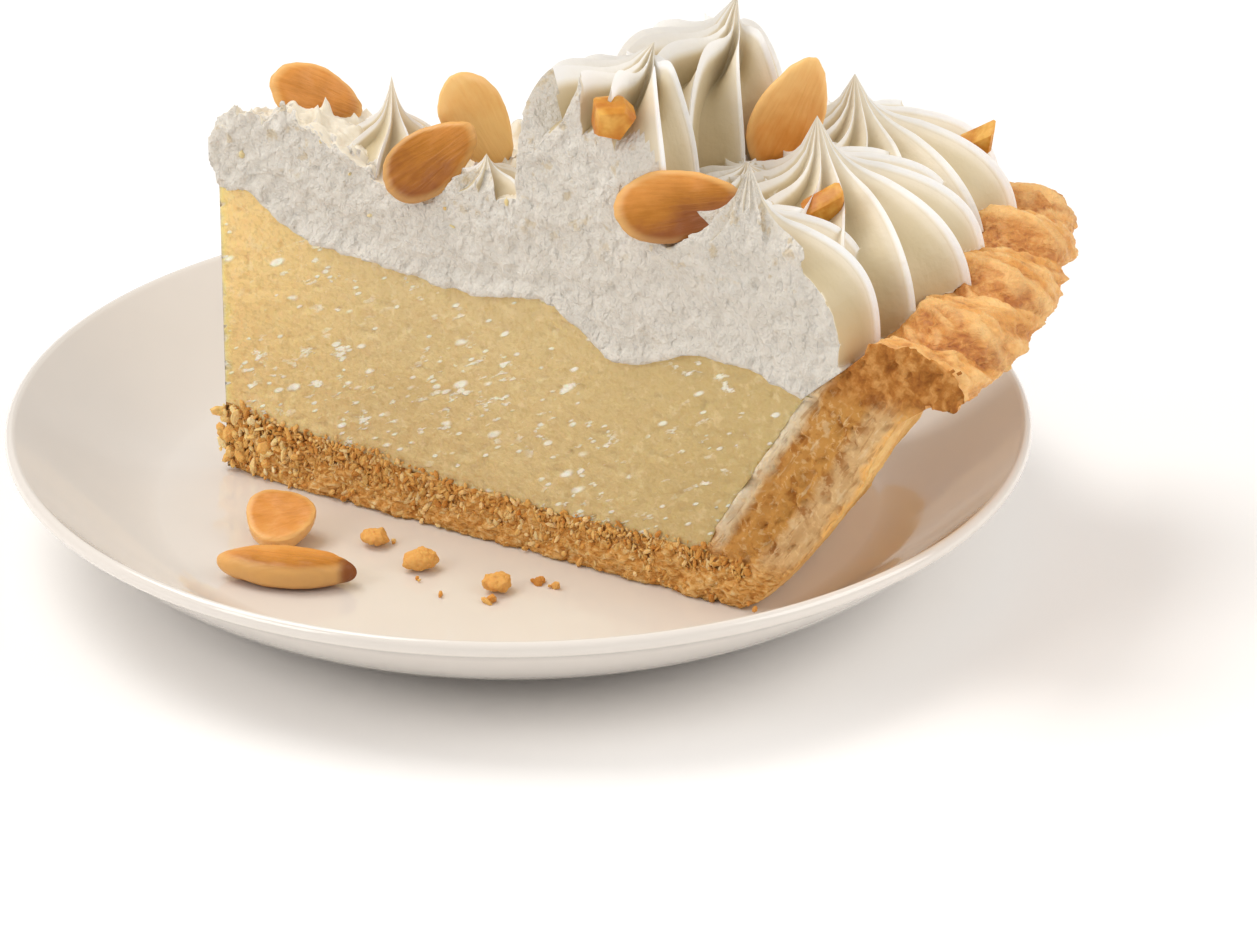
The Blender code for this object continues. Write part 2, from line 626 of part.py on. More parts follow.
def almond_mesh(length, width, crown, belly, grow_by=0.0):
    """A nut: an egg-shaped outline, crowned above by crown and below by belly."""
    a, b = (v / 2 * MM + grow_by for v in (length, width))
    up, down = (v * MM + grow_by for v in (crown, belly))
    bm = bmesh.new()
    rings = []
    for share, level in ALMOND_RINGS:
        z = level * (up if level > 0 else down)
        if share == 0.0:
            rings.append([bm.verts.new((0, 0, z))] * ALMOND_SIDES)
            continue
        ring = []
        for i in range(ALMOND_SIDES):
            t = 2 * math.pi * i / ALMOND_SIDES
            y = b * share * math.sin(t) * (1 - ALMOND_POINT * math.cos(t))
            ring.append(bm.verts.new((a * share * math.cos(t), y, z)))
        rings.append(ring)
    bridge_rings(bm, rings)
    return bm


def make_topping_almond(name, place, size, length_axis, face_axis):
    """The almond and the pocket, a little larger, that it sits in."""
    radius, angle, height = place
    length, width, thickness = size
    centre = on_slice(radius * MM, math.radians(angle), height * MM)
    frame = Matrix.Translation(centre) @ facing(length_axis, face_axis)
    pair = []
    for title, look, extra in ((name, "almond", 0.0), (name + "_pocket", None, GROWTH)):
        bm = almond_mesh(length, width, thickness / 2, thickness / 2, grow_by=extra)
        bmesh.ops.transform(bm, matrix=frame, verts=bm.verts)
        pair.append(piece(title, bm, look, 60 if look else None))
    return pair


def make_chip(name, place, size, turns, corners):
    """A broken wedge of almond and its pocket."""
    radius, angle, height = place
    centre = on_slice(radius * MM, math.radians(angle), height * MM)
    turn = Matrix.Identity(4)
    for axis, degrees in zip("XYZ", turns):
        turn = Matrix.Rotation(math.radians(degrees), 4, axis) @ turn
    pair = []
    for title, look, extra in ((name, "almond", 0.0), (name + "_pocket", None, 2 * GROWTH)):
        length, height = (size[i] * MM + CHIP_POCKET_SPREAD * extra for i in (0, 2))
        thickness = size[1] * MM + extra
        bm = bmesh.new()
        rings = []
        for level, inset in CHIP_LEVELS:
            rings.append([bm.verts.new((x * inset * length, level * thickness, y * inset * height))
                          for x, y in corners])
        bridge_rings(bm, rings)
        bm.faces.new(rings[0])
        bm.faces.new(rings[-1])
        bmesh.ops.transform(bm, matrix=Matrix.Translation(centre) @ turn, verts=bm.verts)
        pair.append(piece(title, bm, look))
    return pair


def make_plate_nut(name, place, size, turn, tilt):
    """A nut that lies on the plate, turned in plan and tilted towards -Y."""
    bm = almond_mesh(*size)
    lie = Matrix.Rotation(math.radians(tilt), 4, "X") @ Matrix.Rotation(math.radians(turn), 4, "Z")
    bmesh.ops.transform(bm, matrix=lie, verts=bm.verts)
    lowest = min(vert.co.z for vert in bm.verts)
    shift = PLATE_CENTRE + Vector((place[0] * MM, place[1] * MM, FLOOR - lowest))
    bmesh.ops.translate(bm, verts=bm.verts, vec=shift)
    return piece(name, bm, "almond", 60)


def make_crumb(name, place, size):
    bm = bmesh.new()
    bmesh.ops.create_icosphere(bm, subdivisions=2, radius=1.0)
    wide, deep, tall = CRUMB_SHAPE
    for vert in bm.verts:
        rough = 1 + CRUMB_ROUGHNESS * noise.noise(vert.co * 1.9 + Vector((place[0], place[1], 0.0)))
        flat = Vector((vert.co.x * wide, vert.co.y * deep, max(vert.co.z * tall, CRUMB_FOOT)))
        vert.co = flat * rough * size / 2 * MM
    lowest = min(vert.co.z for vert in bm.verts)
    shift = PLATE_CENTRE + Vector((place[0] * MM, place[1] * MM, FLOOR - lowest))
    bmesh.ops.translate(bm, verts=bm.verts, vec=shift)
    return piece(name, bm, "crumb")


def main():
    for obj in list(bpy.data.objects):
        bpy.data.objects.remove(obj)
    make_plate()
    make_crust()
    make_custard()
    pockets = []
    for name, sizes in ALMONDS.items():
        pockets.append(make_topping_almond(name, *sizes)[1])
    for name, sizes in CHIPS.items():
        pockets.append(make_chip(name, *sizes)[1])
    make_cream(pockets)
    for name, sizes in PLATE_NUTS.items():
        make_plate_nut(name, *sizes)
    for name, sizes in PLATE_CRUMBS.items():
        make_crumb(name, *sizes)


main()
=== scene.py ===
"""Looks for a slice of cream pie on a small plate.

The solids give the sizes. Here the plate, crust, custard, cream, nuts and crumbs are made
again with fine surfaces: a glazed plate, flaky crimped crust with a crumbly cut face, moist
custard, and whipped cream with piped star swirls.

Lengths in metres are written in millimetres times MM. Shapes on the slice are worked out in
millimetres: a radius from its tip and a height above its underside, at an angle from +X.
"""

import math

import bmesh
import bpy
import numpy as np
from mathutils import Matrix, Vector


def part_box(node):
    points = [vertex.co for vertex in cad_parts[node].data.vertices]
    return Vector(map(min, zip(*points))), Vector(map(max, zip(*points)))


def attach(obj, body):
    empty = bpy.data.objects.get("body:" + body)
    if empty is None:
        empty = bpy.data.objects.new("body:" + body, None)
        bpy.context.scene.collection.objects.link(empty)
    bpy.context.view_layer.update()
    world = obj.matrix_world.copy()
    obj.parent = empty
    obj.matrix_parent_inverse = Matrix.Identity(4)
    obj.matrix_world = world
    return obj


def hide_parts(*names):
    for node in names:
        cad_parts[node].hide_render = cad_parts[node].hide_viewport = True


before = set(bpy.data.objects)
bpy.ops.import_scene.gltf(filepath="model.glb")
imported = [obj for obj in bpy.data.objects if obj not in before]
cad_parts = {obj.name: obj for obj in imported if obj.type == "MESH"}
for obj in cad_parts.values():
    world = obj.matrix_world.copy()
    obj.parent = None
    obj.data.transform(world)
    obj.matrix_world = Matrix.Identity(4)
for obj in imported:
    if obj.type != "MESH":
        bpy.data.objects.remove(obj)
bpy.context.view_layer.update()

MM = 0.001
FULL_TURN = 2 * math.pi

# plate
plate_low, plate_high = (Vector(corner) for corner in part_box("plate"))
PLATE_CENTRE = Vector(((plate_low.x + plate_high.x) / 2, (plate_low.y + plate_high.y) / 2, 0.0))
PLATE_RADIUS = (plate_high.y - plate_low.y) / 2
WELL_RADIUS = 57.0 * MM
WELL_LEVEL = 7.0 * MM
LIP_RISE = plate_high.z - WELL_LEVEL
PLATE_THICKNESS = 4.4 * MM
LIP_THICKNESS = 2.6 * MM
LIP_ROUNDING = 1.2 * MM
LIP_CURVE = 1.6
UNDERSIDE_CURVE = 2.2
FOOT_RADIUS = 45.0 * MM
FOOT_WIDTH = 4.0 * MM
FOOT_FLARE = 3.0 * MM
FOOT_INNER_FLARE = 1.2 * MM
FOOT_ROUNDING = 0.8 * MM
PLATE_SIDES = 240

# slice
TIP = PLATE_CENTRE + Vector((-46.5, 10.6, 0.0)) * MM
FRONT_ANGLE = math.radians(-32.9)
BACK_ANGLE = FRONT_ANGLE + math.radians(36.0)
MIDDLE_ANGLE = (FRONT_ANGLE + BACK_ANGLE) / 2
FLOOR = WELL_LEVEL + 0.3 * MM       # level of the slice's underside
CUTS = ((FRONT_ANGLE, -1.0), (BACK_ANGLE, 1.0))     # angle of a cut face, side it looks to

# crust, as in the solids
BASE_TOP = ((0.0, 11.6), (7.0, 10.0), (24.0, 9.2), (42.0, 7.4), (89.2, 7.6))
WALL_SLOPE = math.tan(math.radians(31.5))
WALL_INNER_FOOT = 91.0
WALL_INNER_FOOT_HEIGHT = 12.0
WALL_OUTER = (97.8, 0.92, -0.0068)  # outer wall's radius: at the underside, and its growth
WALL_TOP = 38.0
WALL_LEVELS = (1.5, 37.0)           # of the outer wall between its foot and the crimp
WALL_FROM_RADIUS = (89.0, 93.0)     # where the cut face turns from base to wall
WALL_FROM_HEIGHT = (5.0, 10.0)
CRIMP_RADIUS = 124.3
CRIMP_HEIGHT = 43.6
CRIMP_SINK = 4.6
CRIMP_HALF_WIDTH = 9.6
CRIMP_HALF_HEIGHT = 6.0             # about, to tell where on the crimp a point is
CRIMP_RISE = 4.2                    # of its top over its middle in a crease
FOLD_RISE = 3.6                     # and more on a crest
CRIMP_DROP = 3.2
CRIMP_SPAN = (-70.0, 152.0)         # degrees round its section, from under its outer edge
CRIMP_INNER_EDGE = (111.7, 42.2)
SINK_START = math.radians(-9.0)
FOLD_PITCH = math.radians(8.7)
FOLD_START = math.radians(-21.3)    # a crease at the top of the crimp
FOLD_TURN = math.radians(2.6)       # a crease's turn from the top to the outer edge
WALL_RECEDE = 2.2                   # the outer wall is narrower behind the front cut
RECEDE_ANGLE = math.radians(9.0)
RECEDE_HEIGHT = 18.0

# custard and cream: radius and height of their tops
CUSTARD_TOP = (
    (0.0, 49.0), (6.0, 49.8), (13.5, 45.3), (30.0, 43.3), (50.0, 42.2), (60.5, 44.0),
    (74.0, 36.9), (89.0, 41.3), (99.0, 40.8), (107.0, 38.2), (118.0, 36.0),
)
CREAM_TOP = (
    (-4.0, 58.0), (3.0, 61.5), (8.0, 61.5), (14.0, 63.5), (19.0, 62.0), (30.0, 56.5),
    (37.0, 54.0), (44.0, 56.0), (50.0, 58.0), (58.0, 59.0), (85.0, 57.0), (95.0, 53.0), (105.0, 48.0),
    (112.0, 44.6), (121.0, 40.5),
)
CREAM_RADIUS = 121.0
CREAM_OVERHANG = 1.6 * MM           # of its cut faces over the custard's
TIP_LUMP_PLACE = (2.9, 0.0, 54.4)   # radius, angle and height of the cream past the tip
TIP_LUMP_RADII = (4.8, 4.8, 6.2)
# custard's wet spots, with painted glints: how many a millimetre, their size as a share of their distance,
# and the share that stays dull; then the height and the half height of the band that has more of them
GLINTS = ((0.3, 0.16, 0.72), (0.5, 0.18, 0.72), (0.85, 0.2, 0.76))
GLINT_HEIGHT = 19.0
GLINT_SPREAD = 6.5

# swirls: radius and angle of their middle, heights of foot, dome and peak, their own radius,
# number of ridges, angle of the first, roundness of the shoulder, lean of the peak
SWIRLS = {
    "border_front": (95.8, -32.4, (44.0, 61.5, 73.2), 19.2, 12, -14.0, 3.0, (0.6, 0.3)),
    "border_middle": (97.5, -17.6, (43.0, 60.5, 71.6), 24.0, 13, -28.0, 2.9, (-0.4, 0.6)),
    "border_back": (99.0, -3.0, (42.0, 58.5, 68.6), 24.4, 13, -10.0, 2.8, (0.5, 0.0)),
    "border_next": (99.0, 11.8, (42.0, 58.0, 68.0), 22.0, 11, 5.0, 2.8, (0.0, 0.0)),
    "middle": (67.6, -27.0, (53.0, 77.5, 82.2), 13.8, 9, -173.0, 3.3, (7.6, 6.1)),
    "rear": (75.2, -7.6, (50.0, 75.5, 83.6), 14.2, 10, -60.0, 3.4, (6.4, 0.5)),
    "small_tip": (28.0, -14.0, (52.0, 61.2, 69.8), 9.5, 8, -60.0, 2.2, (0.3, 0.0)),
    "small_cut": (48.0, -29.5, (50.0, 59.8, 63.6), 10.0, 8, -80.0, 2.4, (0.3, 0.2)),
    "filler": (86.0, -18.0, (48.0, 61.0, 63.0), 13.0, 12, 0.0, 2.4, (0.0, 0.0)),
    "small_rear": (54.0, -4.0, (50.0, 57.0, 61.0), 9.5, 8, -70.0, 2.4, (0.0, 0.0)),
}
CROWNS = {"rear": 2.4, "middle": 4.6}       # how far their ridges stand up at the shoulder
TWISTS = {"rear": 46.0, "middle": 34.0, "border_middle": 36.0, "border_back": 36.0}
TWIST = 20.0                                # degrees, of the other swirls
UNEVEN = 0.06                               # how far ridges wander, in radians
SWIRL_ROWS = 46
POINTS_PER_RIDGE = 18
RIDGE_DROP = 0.16                           # share of a ridge in which it drops behind its crest
RIDGE_LIP = 0.038                           # half width of its thin lip, as a share
CROWN_PLACE = 0.62                          # as a share of a swirl's radius, as the next two are
CROWN_WIDTH = 0.2
PEAK_WIDTH = 0.15

# nuts in the cream: centre's radius, angle and height; length, width and thickness; direction
# of the length and of the face
NUTS = {
    "almond_tip": ((15.7, -5.0, 64.3), (15.4, 9.2, 2.6), (0.90, 0.10, -0.40), (-0.25, -0.70, 0.66)),
    "almond_rear": ((42.5, -16.5, 64.0), (18.6, 10.4, 2.8), (0.45, 0.15, -0.88), (0.35, -0.88, 0.20)),
    "almond_front": ((39.1, -31.0, 61.3), (16.4, 10.2, 2.6), (0.80, 0.20, 0.52), (-0.30, -0.88, 0.42)),
    "almond_face": ((84.0, -32.3, 63.8), (20.0, 11.0, 2.6), (0.97, -0.12, 0.14), (0.05, -0.90, 0.55)),
    "almond_tall": ((91.0, -13.0, 68.4), (19.6, 11.4, 2.6), (0.40, 0.10, 0.88), (0.30, -0.93, 0.12)),
}
# a nut's toast: in all, more towards its +X end, more towards its +Y edge, at its very end;
# then how far its face is dished in millimetres, and how pointed its ends are
TOAST = {
    "almond_tip": (0.62, 0.1, -0.1, 0.0, 0.3, 0.1),
    "almond_rear": (0.0, -0.15, 0.1, 0.0, 0.2, 0.1),
    "almond_front": (0.8, -0.15, -0.1, 0.0, 0.6, 0.0),
    "almond_face": (0.8, 0.2, -0.4, 0.2, 0.7, 0.05),
    "almond_tall": (0.38, -0.25, -0.1, 0.0, 0.2, 0.2),
    "almond_disc": (0.52, 0.0, 0.1, 0.0, 0.3, 0.0),
    "almond_lens": (0.58, 0.1, -0.25, 0.9, 0.4, 0.7),
}
NUT_ROWS = 30
NUT_SIDES = 88
NUT_SQUARENESS = 5.0                # of its edge: 2 is round
EGG = 0.22                          # how much narrower one end is than the other
# nuts on the plate: place from its centre; length, width, crown and belly; turn; tilt
PLATE_NUTS = {
    "almond_disc": ((-37.2, -17.0), (11.0, 10.9, 0.6, 4.2), 14.0, 22.0),
    "almond_lens": ((-36.2, -31.0), (22.5, 8.6, 2.7, 2.7), -12.0, 0.0),
}
CHIPS = ("chip_block", "chip_middle", "chip_back")
CRUMBS = ("crumb_left", "crumb_middle", "crumb_right")
# where finer crumbs lie on the plate, from its middle, and half the width of each spot
PLATE_SPOTS = ((-16.0, -31.2), (-12.4, -36.5), (-4.6, -38.6), (2.5, -32.4), (4.8, -34.0), (-19.6, -17.8))
SPOT_HALF = 0.7


# ---------------------------------------------------------------- noise

class Noise:
    """Smooth random fields over arrays of points, the same in each run."""

    def __init__(self, seed):
        draw = np.random.default_rng(seed)
        self.order = draw.permutation(256)
        self.gradients = draw.normal(size=(256, 3))
        self.gradients /= np.linalg.norm(self.gradients, axis=1)[:, None]
        self.jitter = draw.random((256, 3))

    def slot(self, cell):
        """Number of the value that belongs to a cell."""
        first = self.order[cell[..., 0] & 255]
        second = self.order[(first + cell[..., 1]) & 255]
        return self.order[(second + cell[..., 2]) & 255]

    def smooth(self, *axes):
        """Gradient noise, about -1 to 1, with features one unit wide."""
        p = np.stack(np.broadcast_arrays(*axes), -1).astype(float)
        cell = np.floor(p).astype(int)
        part = p - cell
        fade = part ** 3 * (part * (part * 6 - 15) + 10)
        total = 0.0
        for corner in np.ndindex(2, 2, 2):
            weight = np.prod(np.where(corner, fade, 1 - fade), axis=-1)
            total = total + weight * (self.gradients[self.slot(cell + corner)] * (part - corner)).sum(-1)
        return total * 1.6

    def rough(self, *axes, octaves=3):
        """Several octaves of the smooth noise, each finer, weaker and in another place."""
        total = 0.0
        for k in range(octaves):
            total = total + self.smooth(*(a * 2 ** k + 11.3 * k for a in axes)) / 2 ** k
        return total

    def cells(self, *axes):
        """Distance to the nearest and the second nearest of scattered points."""
        p = np.stack(np.broadcast_arrays(*axes), -1).astype(float)
        cell = np.floor(p).astype(int)
        nearest = np.full(p.shape[:-1], 9.0)
        second = nearest.copy()
        for step in np.ndindex(3, 3, 3):
            other = cell + step - 1
            reach = np.linalg.norm(other + self.jitter[self.slot(other)] - p, axis=-1)
            second = np.minimum(second, np.maximum(nearest, reach))
            nearest = np.minimum(nearest, reach)
        return nearest, second


FIELD = Noise(7)


def smoothstep(low, high, value):
    """0 below low, 1 above high, smooth between; low may be the larger."""
    t = np.clip((value - low) / (high - low), 0.0, 1.0)
    return t * t * (3 - 2 * t)


def along(points, radius):
    """Smooth curve through a few (radius, height) points, all in millimetres."""
    x, y = (np.array(column) for column in zip(*points))
    slope = np.gradient(y, x)
    radius = np.clip(radius, x[0], x[-1])
    k = np.clip(np.searchsorted(x, radius, side="right") - 1, 0, len(x) - 2)
    w = x[k + 1] - x[k]
    t = (radius - x[k]) / w
    return ((2 * t ** 3 - 3 * t ** 2 + 1) * y[k] + (t ** 3 - 2 * t ** 2 + t) * w * slope[k]
            + (3 * t ** 2 - 2 * t ** 3) * y[k + 1] + (t ** 3 - t ** 2) * w * slope[k + 1])


# ---------------------------------------------------------------- meshes

def new_object(name, verts, faces, *looks):
    """Object from arrays of points and faces, smooth, with its materials."""
    mesh = bpy.data.meshes.new(name)
    mesh.from_pydata([tuple(v) for v in verts], [], [tuple(f) for f in faces])
    for look in looks:
        mesh.materials.append(look)
    mesh.shade_smooth()
    obj = bpy.data.objects.new(name, mesh)
    bpy.context.collection.objects.link(obj)
    return obj


def quads(rows, columns, wrap=False):
    """Corner numbers of the faces of a grid of points; wrap joins the last column to the first."""
    i, j = np.meshgrid(np.arange(rows - 1), np.arange(columns if wrap else columns - 1), indexing="ij")
    k = (j + 1) % columns
    return np.stack([i * columns + j, i * columns + k, (i + 1) * columns + k, (i + 1) * columns + j],
                    -1).reshape(-1, 4)


def tidy(obj, merge=1e-6):
    """Merge doubles and turn the faces outwards."""
    bm = bmesh.new()
    bm.from_mesh(obj.data)
    bmesh.ops.remove_doubles(bm, verts=bm.verts, dist=merge)
    bmesh.ops.dissolve_degenerate(bm, edges=bm.edges, dist=merge)
    bmesh.ops.recalc_face_normals(bm, faces=bm.faces)
    bm.to_mesh(obj.data)
    bm.free()
    return obj


def applied(obj):
    """Replace an object's mesh by its evaluated one and drop its modifiers."""
    bpy.context.view_layer.update()
    result = bpy.data.meshes.new_from_object(obj.evaluated_get(bpy.context.evaluated_depsgraph_get()))
    obj.modifiers.clear()
    obj.data = result
    return obj


def boolean(obj, operation, *others):
    """Join, meet or cut obj with others, one after the other, and remove them."""
    for other in others:
        before = len(obj.data.vertices)
        modifier = obj.modifiers.new(operation, "BOOLEAN")
        modifier.operation = operation
        modifier.solver = "MANIFOLD"
        modifier.object = other
        applied(obj)
        if len(obj.data.vertices) in (0, before):
            raise RuntimeError(f"{other.name} left {obj.name} as it was")
        bpy.data.objects.remove(other)
    return obj


def vectors(items, key):
    """One vector of each point or face of a mesh, as rows of an array."""
    flat = np.empty(len(items) * 3)
    items.foreach_get(key, flat)
    return flat.reshape(-1, 3)


def positions(obj):
    return vectors(obj.data.vertices, "co")


def place(obj, points):
    """Move an object's points; the object itself stays at the origin."""
    obj.data.vertices.foreach_set("co", np.asarray(points, float).reshape(-1))
    obj.data.update()


def store(obj, name, values):
    """Keep one number a point as an attribute that a material reads."""
    attribute = obj.data.attributes.new(name, "FLOAT", "POINT")
    attribute.data.foreach_set("value", np.asarray(values, np.float32))


def on_slice(radius, angle, height):
    """Points in metres from radii and heights in millimetres and angles in radians."""
    r, a, h = np.broadcast_arrays(radius, angle, height)
    return np.stack([TIP.x + r * MM * np.cos(a), TIP.y + r * MM * np.sin(a), FLOOR + h * MM], -1)


def sweep(name, section, angles, *looks):
    """Closed solid swept about the tip; section gives radii and heights, one row an angle."""
    angles = angles[:, None]
    radii, heights = section(angles)
    points = on_slice(radii, angles, heights)
    rows, columns = points.shape[:2]
    faces = quads(rows, columns, wrap=True).tolist()
    faces += [list(range(columns)), list(range((rows - 1) * columns, rows * columns))]
    return tidy(new_object(name, points.reshape(-1, 3), faces, *looks), merge=2e-6)


def outward(angle, side):
    """Direction out of a cut face."""
    return side * np.array([-math.sin(angle), math.cos(angle), 0.0])


def cut_apex(overhang):
    """Where the two cut faces meet: the slice's tip, or past it so that they stand proud."""
    return np.array(TIP) - overhang * np.array([math.cos(MIDDLE_ANGLE), math.sin(MIDDLE_ANGLE), 0.0])


def wedge(name, relief, levels, spacing, reach=150.0, overhang=0.0):
    """Cutter between the two cut faces. relief(s, height, side) pushes a face outwards, at a
    distance s from the tip."""
    apex = cut_apex(overhang)
    s = np.linspace(0.0, reach, round(reach / spacing) + 1)[:, None]
    h = np.linspace(*levels, round((levels[1] - levels[0]) / spacing) + 1)[None, :]
    inner = (s > 0) & (s < reach) & (h > levels[0]) & (h < levels[1])
    verts, faces = [], []
    rows, columns = s.size, h.size
    for number, (angle, side) in enumerate(CUTS):
        direction = np.array([math.cos(angle), math.sin(angle), 0.0])
        push = np.where(inner, relief(s, h, side), 0.0)
        points = apex + s[..., None] * MM * direction + push[..., None] * MM * outward(angle, side)
        points = points + (h * MM + FLOOR)[..., None] * np.array([0.0, 0.0, 1.0])
        verts.append(np.broadcast_to(points, (rows, columns, 3)).reshape(-1, 3))
        faces += (quads(rows, columns) + number * rows * columns).tolist()
    other = rows * columns
    last = (rows - 1) * columns
    faces += [[last + j, last + j + 1, other + last + j + 1, other + last + j] for j in range(columns - 1)]
    for level in (0, columns - 1):
        front = [i * columns + level for i in range(rows)]
        faces.append(front + [other + i for i in reversed(front[1:])])
    return tidy(new_object(name, np.concatenate(verts), faces))


def cut_faces(obj, slack, high_slack, overhang=0.0):
    """Give the second material to the faces that lie in a cut and look out of it. Slack is how
    far they may lie from the cut's plane: below the wall's top, and above it."""
    faces = obj.data.polygons
    centres = vectors(faces, "center")
    normals = vectors(faces, "normal")
    room = np.where(centres[:, 2] > FLOOR + WALL_TOP * MM, high_slack, slack)
    index = np.zeros(len(faces), int)
    for angle, side in CUTS:
        out = outward(angle, side)
        away = np.abs((centres - cut_apex(overhang)) @ out) / room
        index[(away < 1.0) & (normals @ out > 0.35 + 0.4 * away)] = 1
    faces.foreach_set("material_index", index)


def finish(obj, node):
    """Put a finished piece on the body, in place of its CAD node if it has one."""
    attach(obj, "root")
    if node:
        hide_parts(node)
    return obj


# ---------------------------------------------------------------- node trees

class Wire:
    """A socket whose arithmetic adds Math nodes to its tree."""

    def __init__(self, tree, socket):
        self.tree = tree
        self.socket = socket

    def math(self, operation, *others):
        """Any Math node of this socket and others."""
        return self.tree.add("ShaderNodeMath", {"operation": operation}, dict(enumerate((self, *others))))[0]

    def __add__(self, other):
        return self.math("ADD", other)

    def __sub__(self, other):
        return self.math("SUBTRACT", other)

    def __mul__(self, other):
        return self.math("MULTIPLY", other)

    def __truediv__(self, other):
        return self.math("DIVIDE", other)

    def __pow__(self, other):
        return self.math("POWER", other)

    def __neg__(self):
        return self * -1.0

    def __rsub__(self, other):
        return -self + other

    def __rtruediv__(self, other):
        return self ** -1.0 * other

    __radd__ = __add__
    __rmul__ = __mul__

    def clamp(self):
        return self.math("MAXIMUM", 0.0).math("MINIMUM", 1.0)

    def step(self, low, high):
        """0 below low, 1 above high, smooth between; low may be the larger."""
        t = ((self - low) / (high - low)).clamp()
        return t * t * (3.0 - t * 2.0)


def srgb(*display):
    """Linear colour from 0 to 255 display values."""
    return tuple(v / 255 / 12.92 if v <= 10 else ((v / 255 + 0.055) / 1.055) ** 2.4 for v in display)


class Tree:
    """A node tree with one method for nodes. Colours are given as 0 to 255 display values."""

    def __init__(self, tree):
        self.tree = tree

    def add(self, kind, settings=None, sockets=None):
        """New node: its settings first, then values or links of its sockets."""
        node = self.tree.nodes.new(kind)
        for name, value in (settings or {}).items():
            if name == "stops":
                ramp = node.color_ramp
                while len(ramp.elements) > 1:
                    ramp.elements.remove(ramp.elements[-1])
                for k, (position, colour) in enumerate(value):
                    stop = ramp.elements[0] if k == 0 else ramp.elements.new(position)
                    stop.position = position
                    stop.color = (*srgb(*colour), 1.0)
            else:
                setattr(node, name, value)
        for name, value in (sockets or {}).items():
            if isinstance(value, Wire):
                self.tree.links.new(value.socket, node.inputs[name])
            else:
                node.inputs[name].default_value = value
        return [Wire(self, socket) for socket in node.outputs]

    def mix(self, factor, first, second):
        """Colour between two colours."""
        pair = [c if isinstance(c, Wire) else (*srgb(*c), 1.0) for c in (first, second)]
        return self.add("ShaderNodeMix", {"data_type": "RGBA"}, {0: factor, 6: pair[0], 7: pair[1]})[2]

    def ramp(self, value, *stops):
        """Colour that changes with a value; each stop is a place and a colour."""
        return self.add("ShaderNodeValToRGB", {"stops": stops}, {0: value})[0]

    def separate(self, vector):
        return self.add("ShaderNodeSeparateXYZ", {}, {0: vector})

    def combine(self, *parts):
        return self.add("ShaderNodeCombineXYZ", {}, dict(enumerate(parts)))[0]

    def noise(self, vector, scale, detail=3.0, roughness=0.55, warp=0.0):
        """Noise from 0 to 1 about 0.5; scale is in features a millimetre."""
        return self.add("ShaderNodeTexNoise", {}, {
            "Vector": vector, "Scale": scale / MM, "Detail": detail, "Roughness": roughness,
            "Distortion": warp})[0]

    def cells(self, vector, scale):
        """Distance to the nearest of scattered points, and a random colour of that point."""
        return self.add("ShaderNodeTexVoronoi", {}, {"Vector": vector, "Scale": scale / MM})

    def stretched(self, vector, factors, turn=(0.0, 0.0, 0.0)):
        """Coordinates scaled along their axes, then turned by some degrees."""
        return self.add("ShaderNodeMapping", {}, {
            "Vector": vector, "Scale": factors, "Rotation": [math.radians(t) for t in turn]})[0]

    def streaked(self, vector, length, climb):
        """Coordinates whose features are longer along the front cut, climbing by some degrees."""
        return self.add("ShaderNodeMapping", {"vector_type": "TEXTURE"}, {
            "Vector": vector, "Scale": (length, 1.0, 1.0),
            "Rotation": (0.0, math.radians(-climb), FRONT_ANGLE)})[0]

    def bump(self, height, distance):
        """Normal from a height of 0 to 1 that stands for a distance in millimetres."""
        return self.add("ShaderNodeBump", {}, {
            "Height": height, "Distance": distance * MM, "Strength": 1.0})[0]


class Look(Tree):
    """A material with one Principled shader; fixed values go straight onto its sockets."""

    def __init__(self, name, **fixed):
        self.material = bpy.data.materials.new(name)
        self.material.use_nodes = True
        super().__init__(self.material.node_tree)
        self.shader = self.tree.nodes["Principled BSDF"]
        for key, value in fixed.items():
            self.shader.inputs[key.replace("_", " ").title().replace("Ior", "IOR")].default_value = value
        self.where = self.add("ShaderNodeTexCoord")[3]

    def attribute(self, name):
        """A number kept on the mesh's points."""
        return self.add("ShaderNodeAttribute", {"attribute_name": name})[2]

    def grain(self, scale, detail=3.0, warp=0.0):
        """Noise through the whole piece."""
        return self.noise(self.where, scale, detail=detail, warp=warp)

    def layered(self, colour, *layers):
        """Colours laid over the first one in turn, each by its own factor."""
        for factor, over in layers:
            colour = self.mix(factor, colour, over)
        return colour

    def polar(self):
        """Radius from the slice's tip and height above its underside, in millimetres."""
        x, y, z = self.separate(self.where)
        x = (x - TIP.x) / MM
        y = (y - TIP.y) / MM
        return (x * x + y * y) ** 0.5, (z - FLOOR) / MM

    def set(self, **links):
        """Link the shader's sockets and give the finished material."""
        for key, wire in links.items():
            self.tree.links.new(wire.socket, self.shader.inputs[key.replace("_", " ").title()])
        return self.material


# ---------------------------------------------------------------- materials

def soft(weight, depth, radius=(1.0, 0.2, 0.1)):
    """Shader values for light that gets some millimetres deep; radius is by colour."""
    return {"subsurface_weight": weight, "subsurface_scale": depth * MM, "subsurface_radius": radius}


def glaze():
    """Glossy ivory glaze with a faint ripple."""
    look = Look("ivory_glaze", roughness=0.12, coat_weight=0.5, coat_roughness=0.04, specular_ior_level=0.5)
    blotch = look.grain(0.03, detail=2.0)
    colour = look.mix(blotch, (225, 217, 208), (231, 224, 216))
    ripple = look.grain(0.09, detail=1.0)
    return look.set(base_color=colour, normal=look.bump(ripple, 0.15))


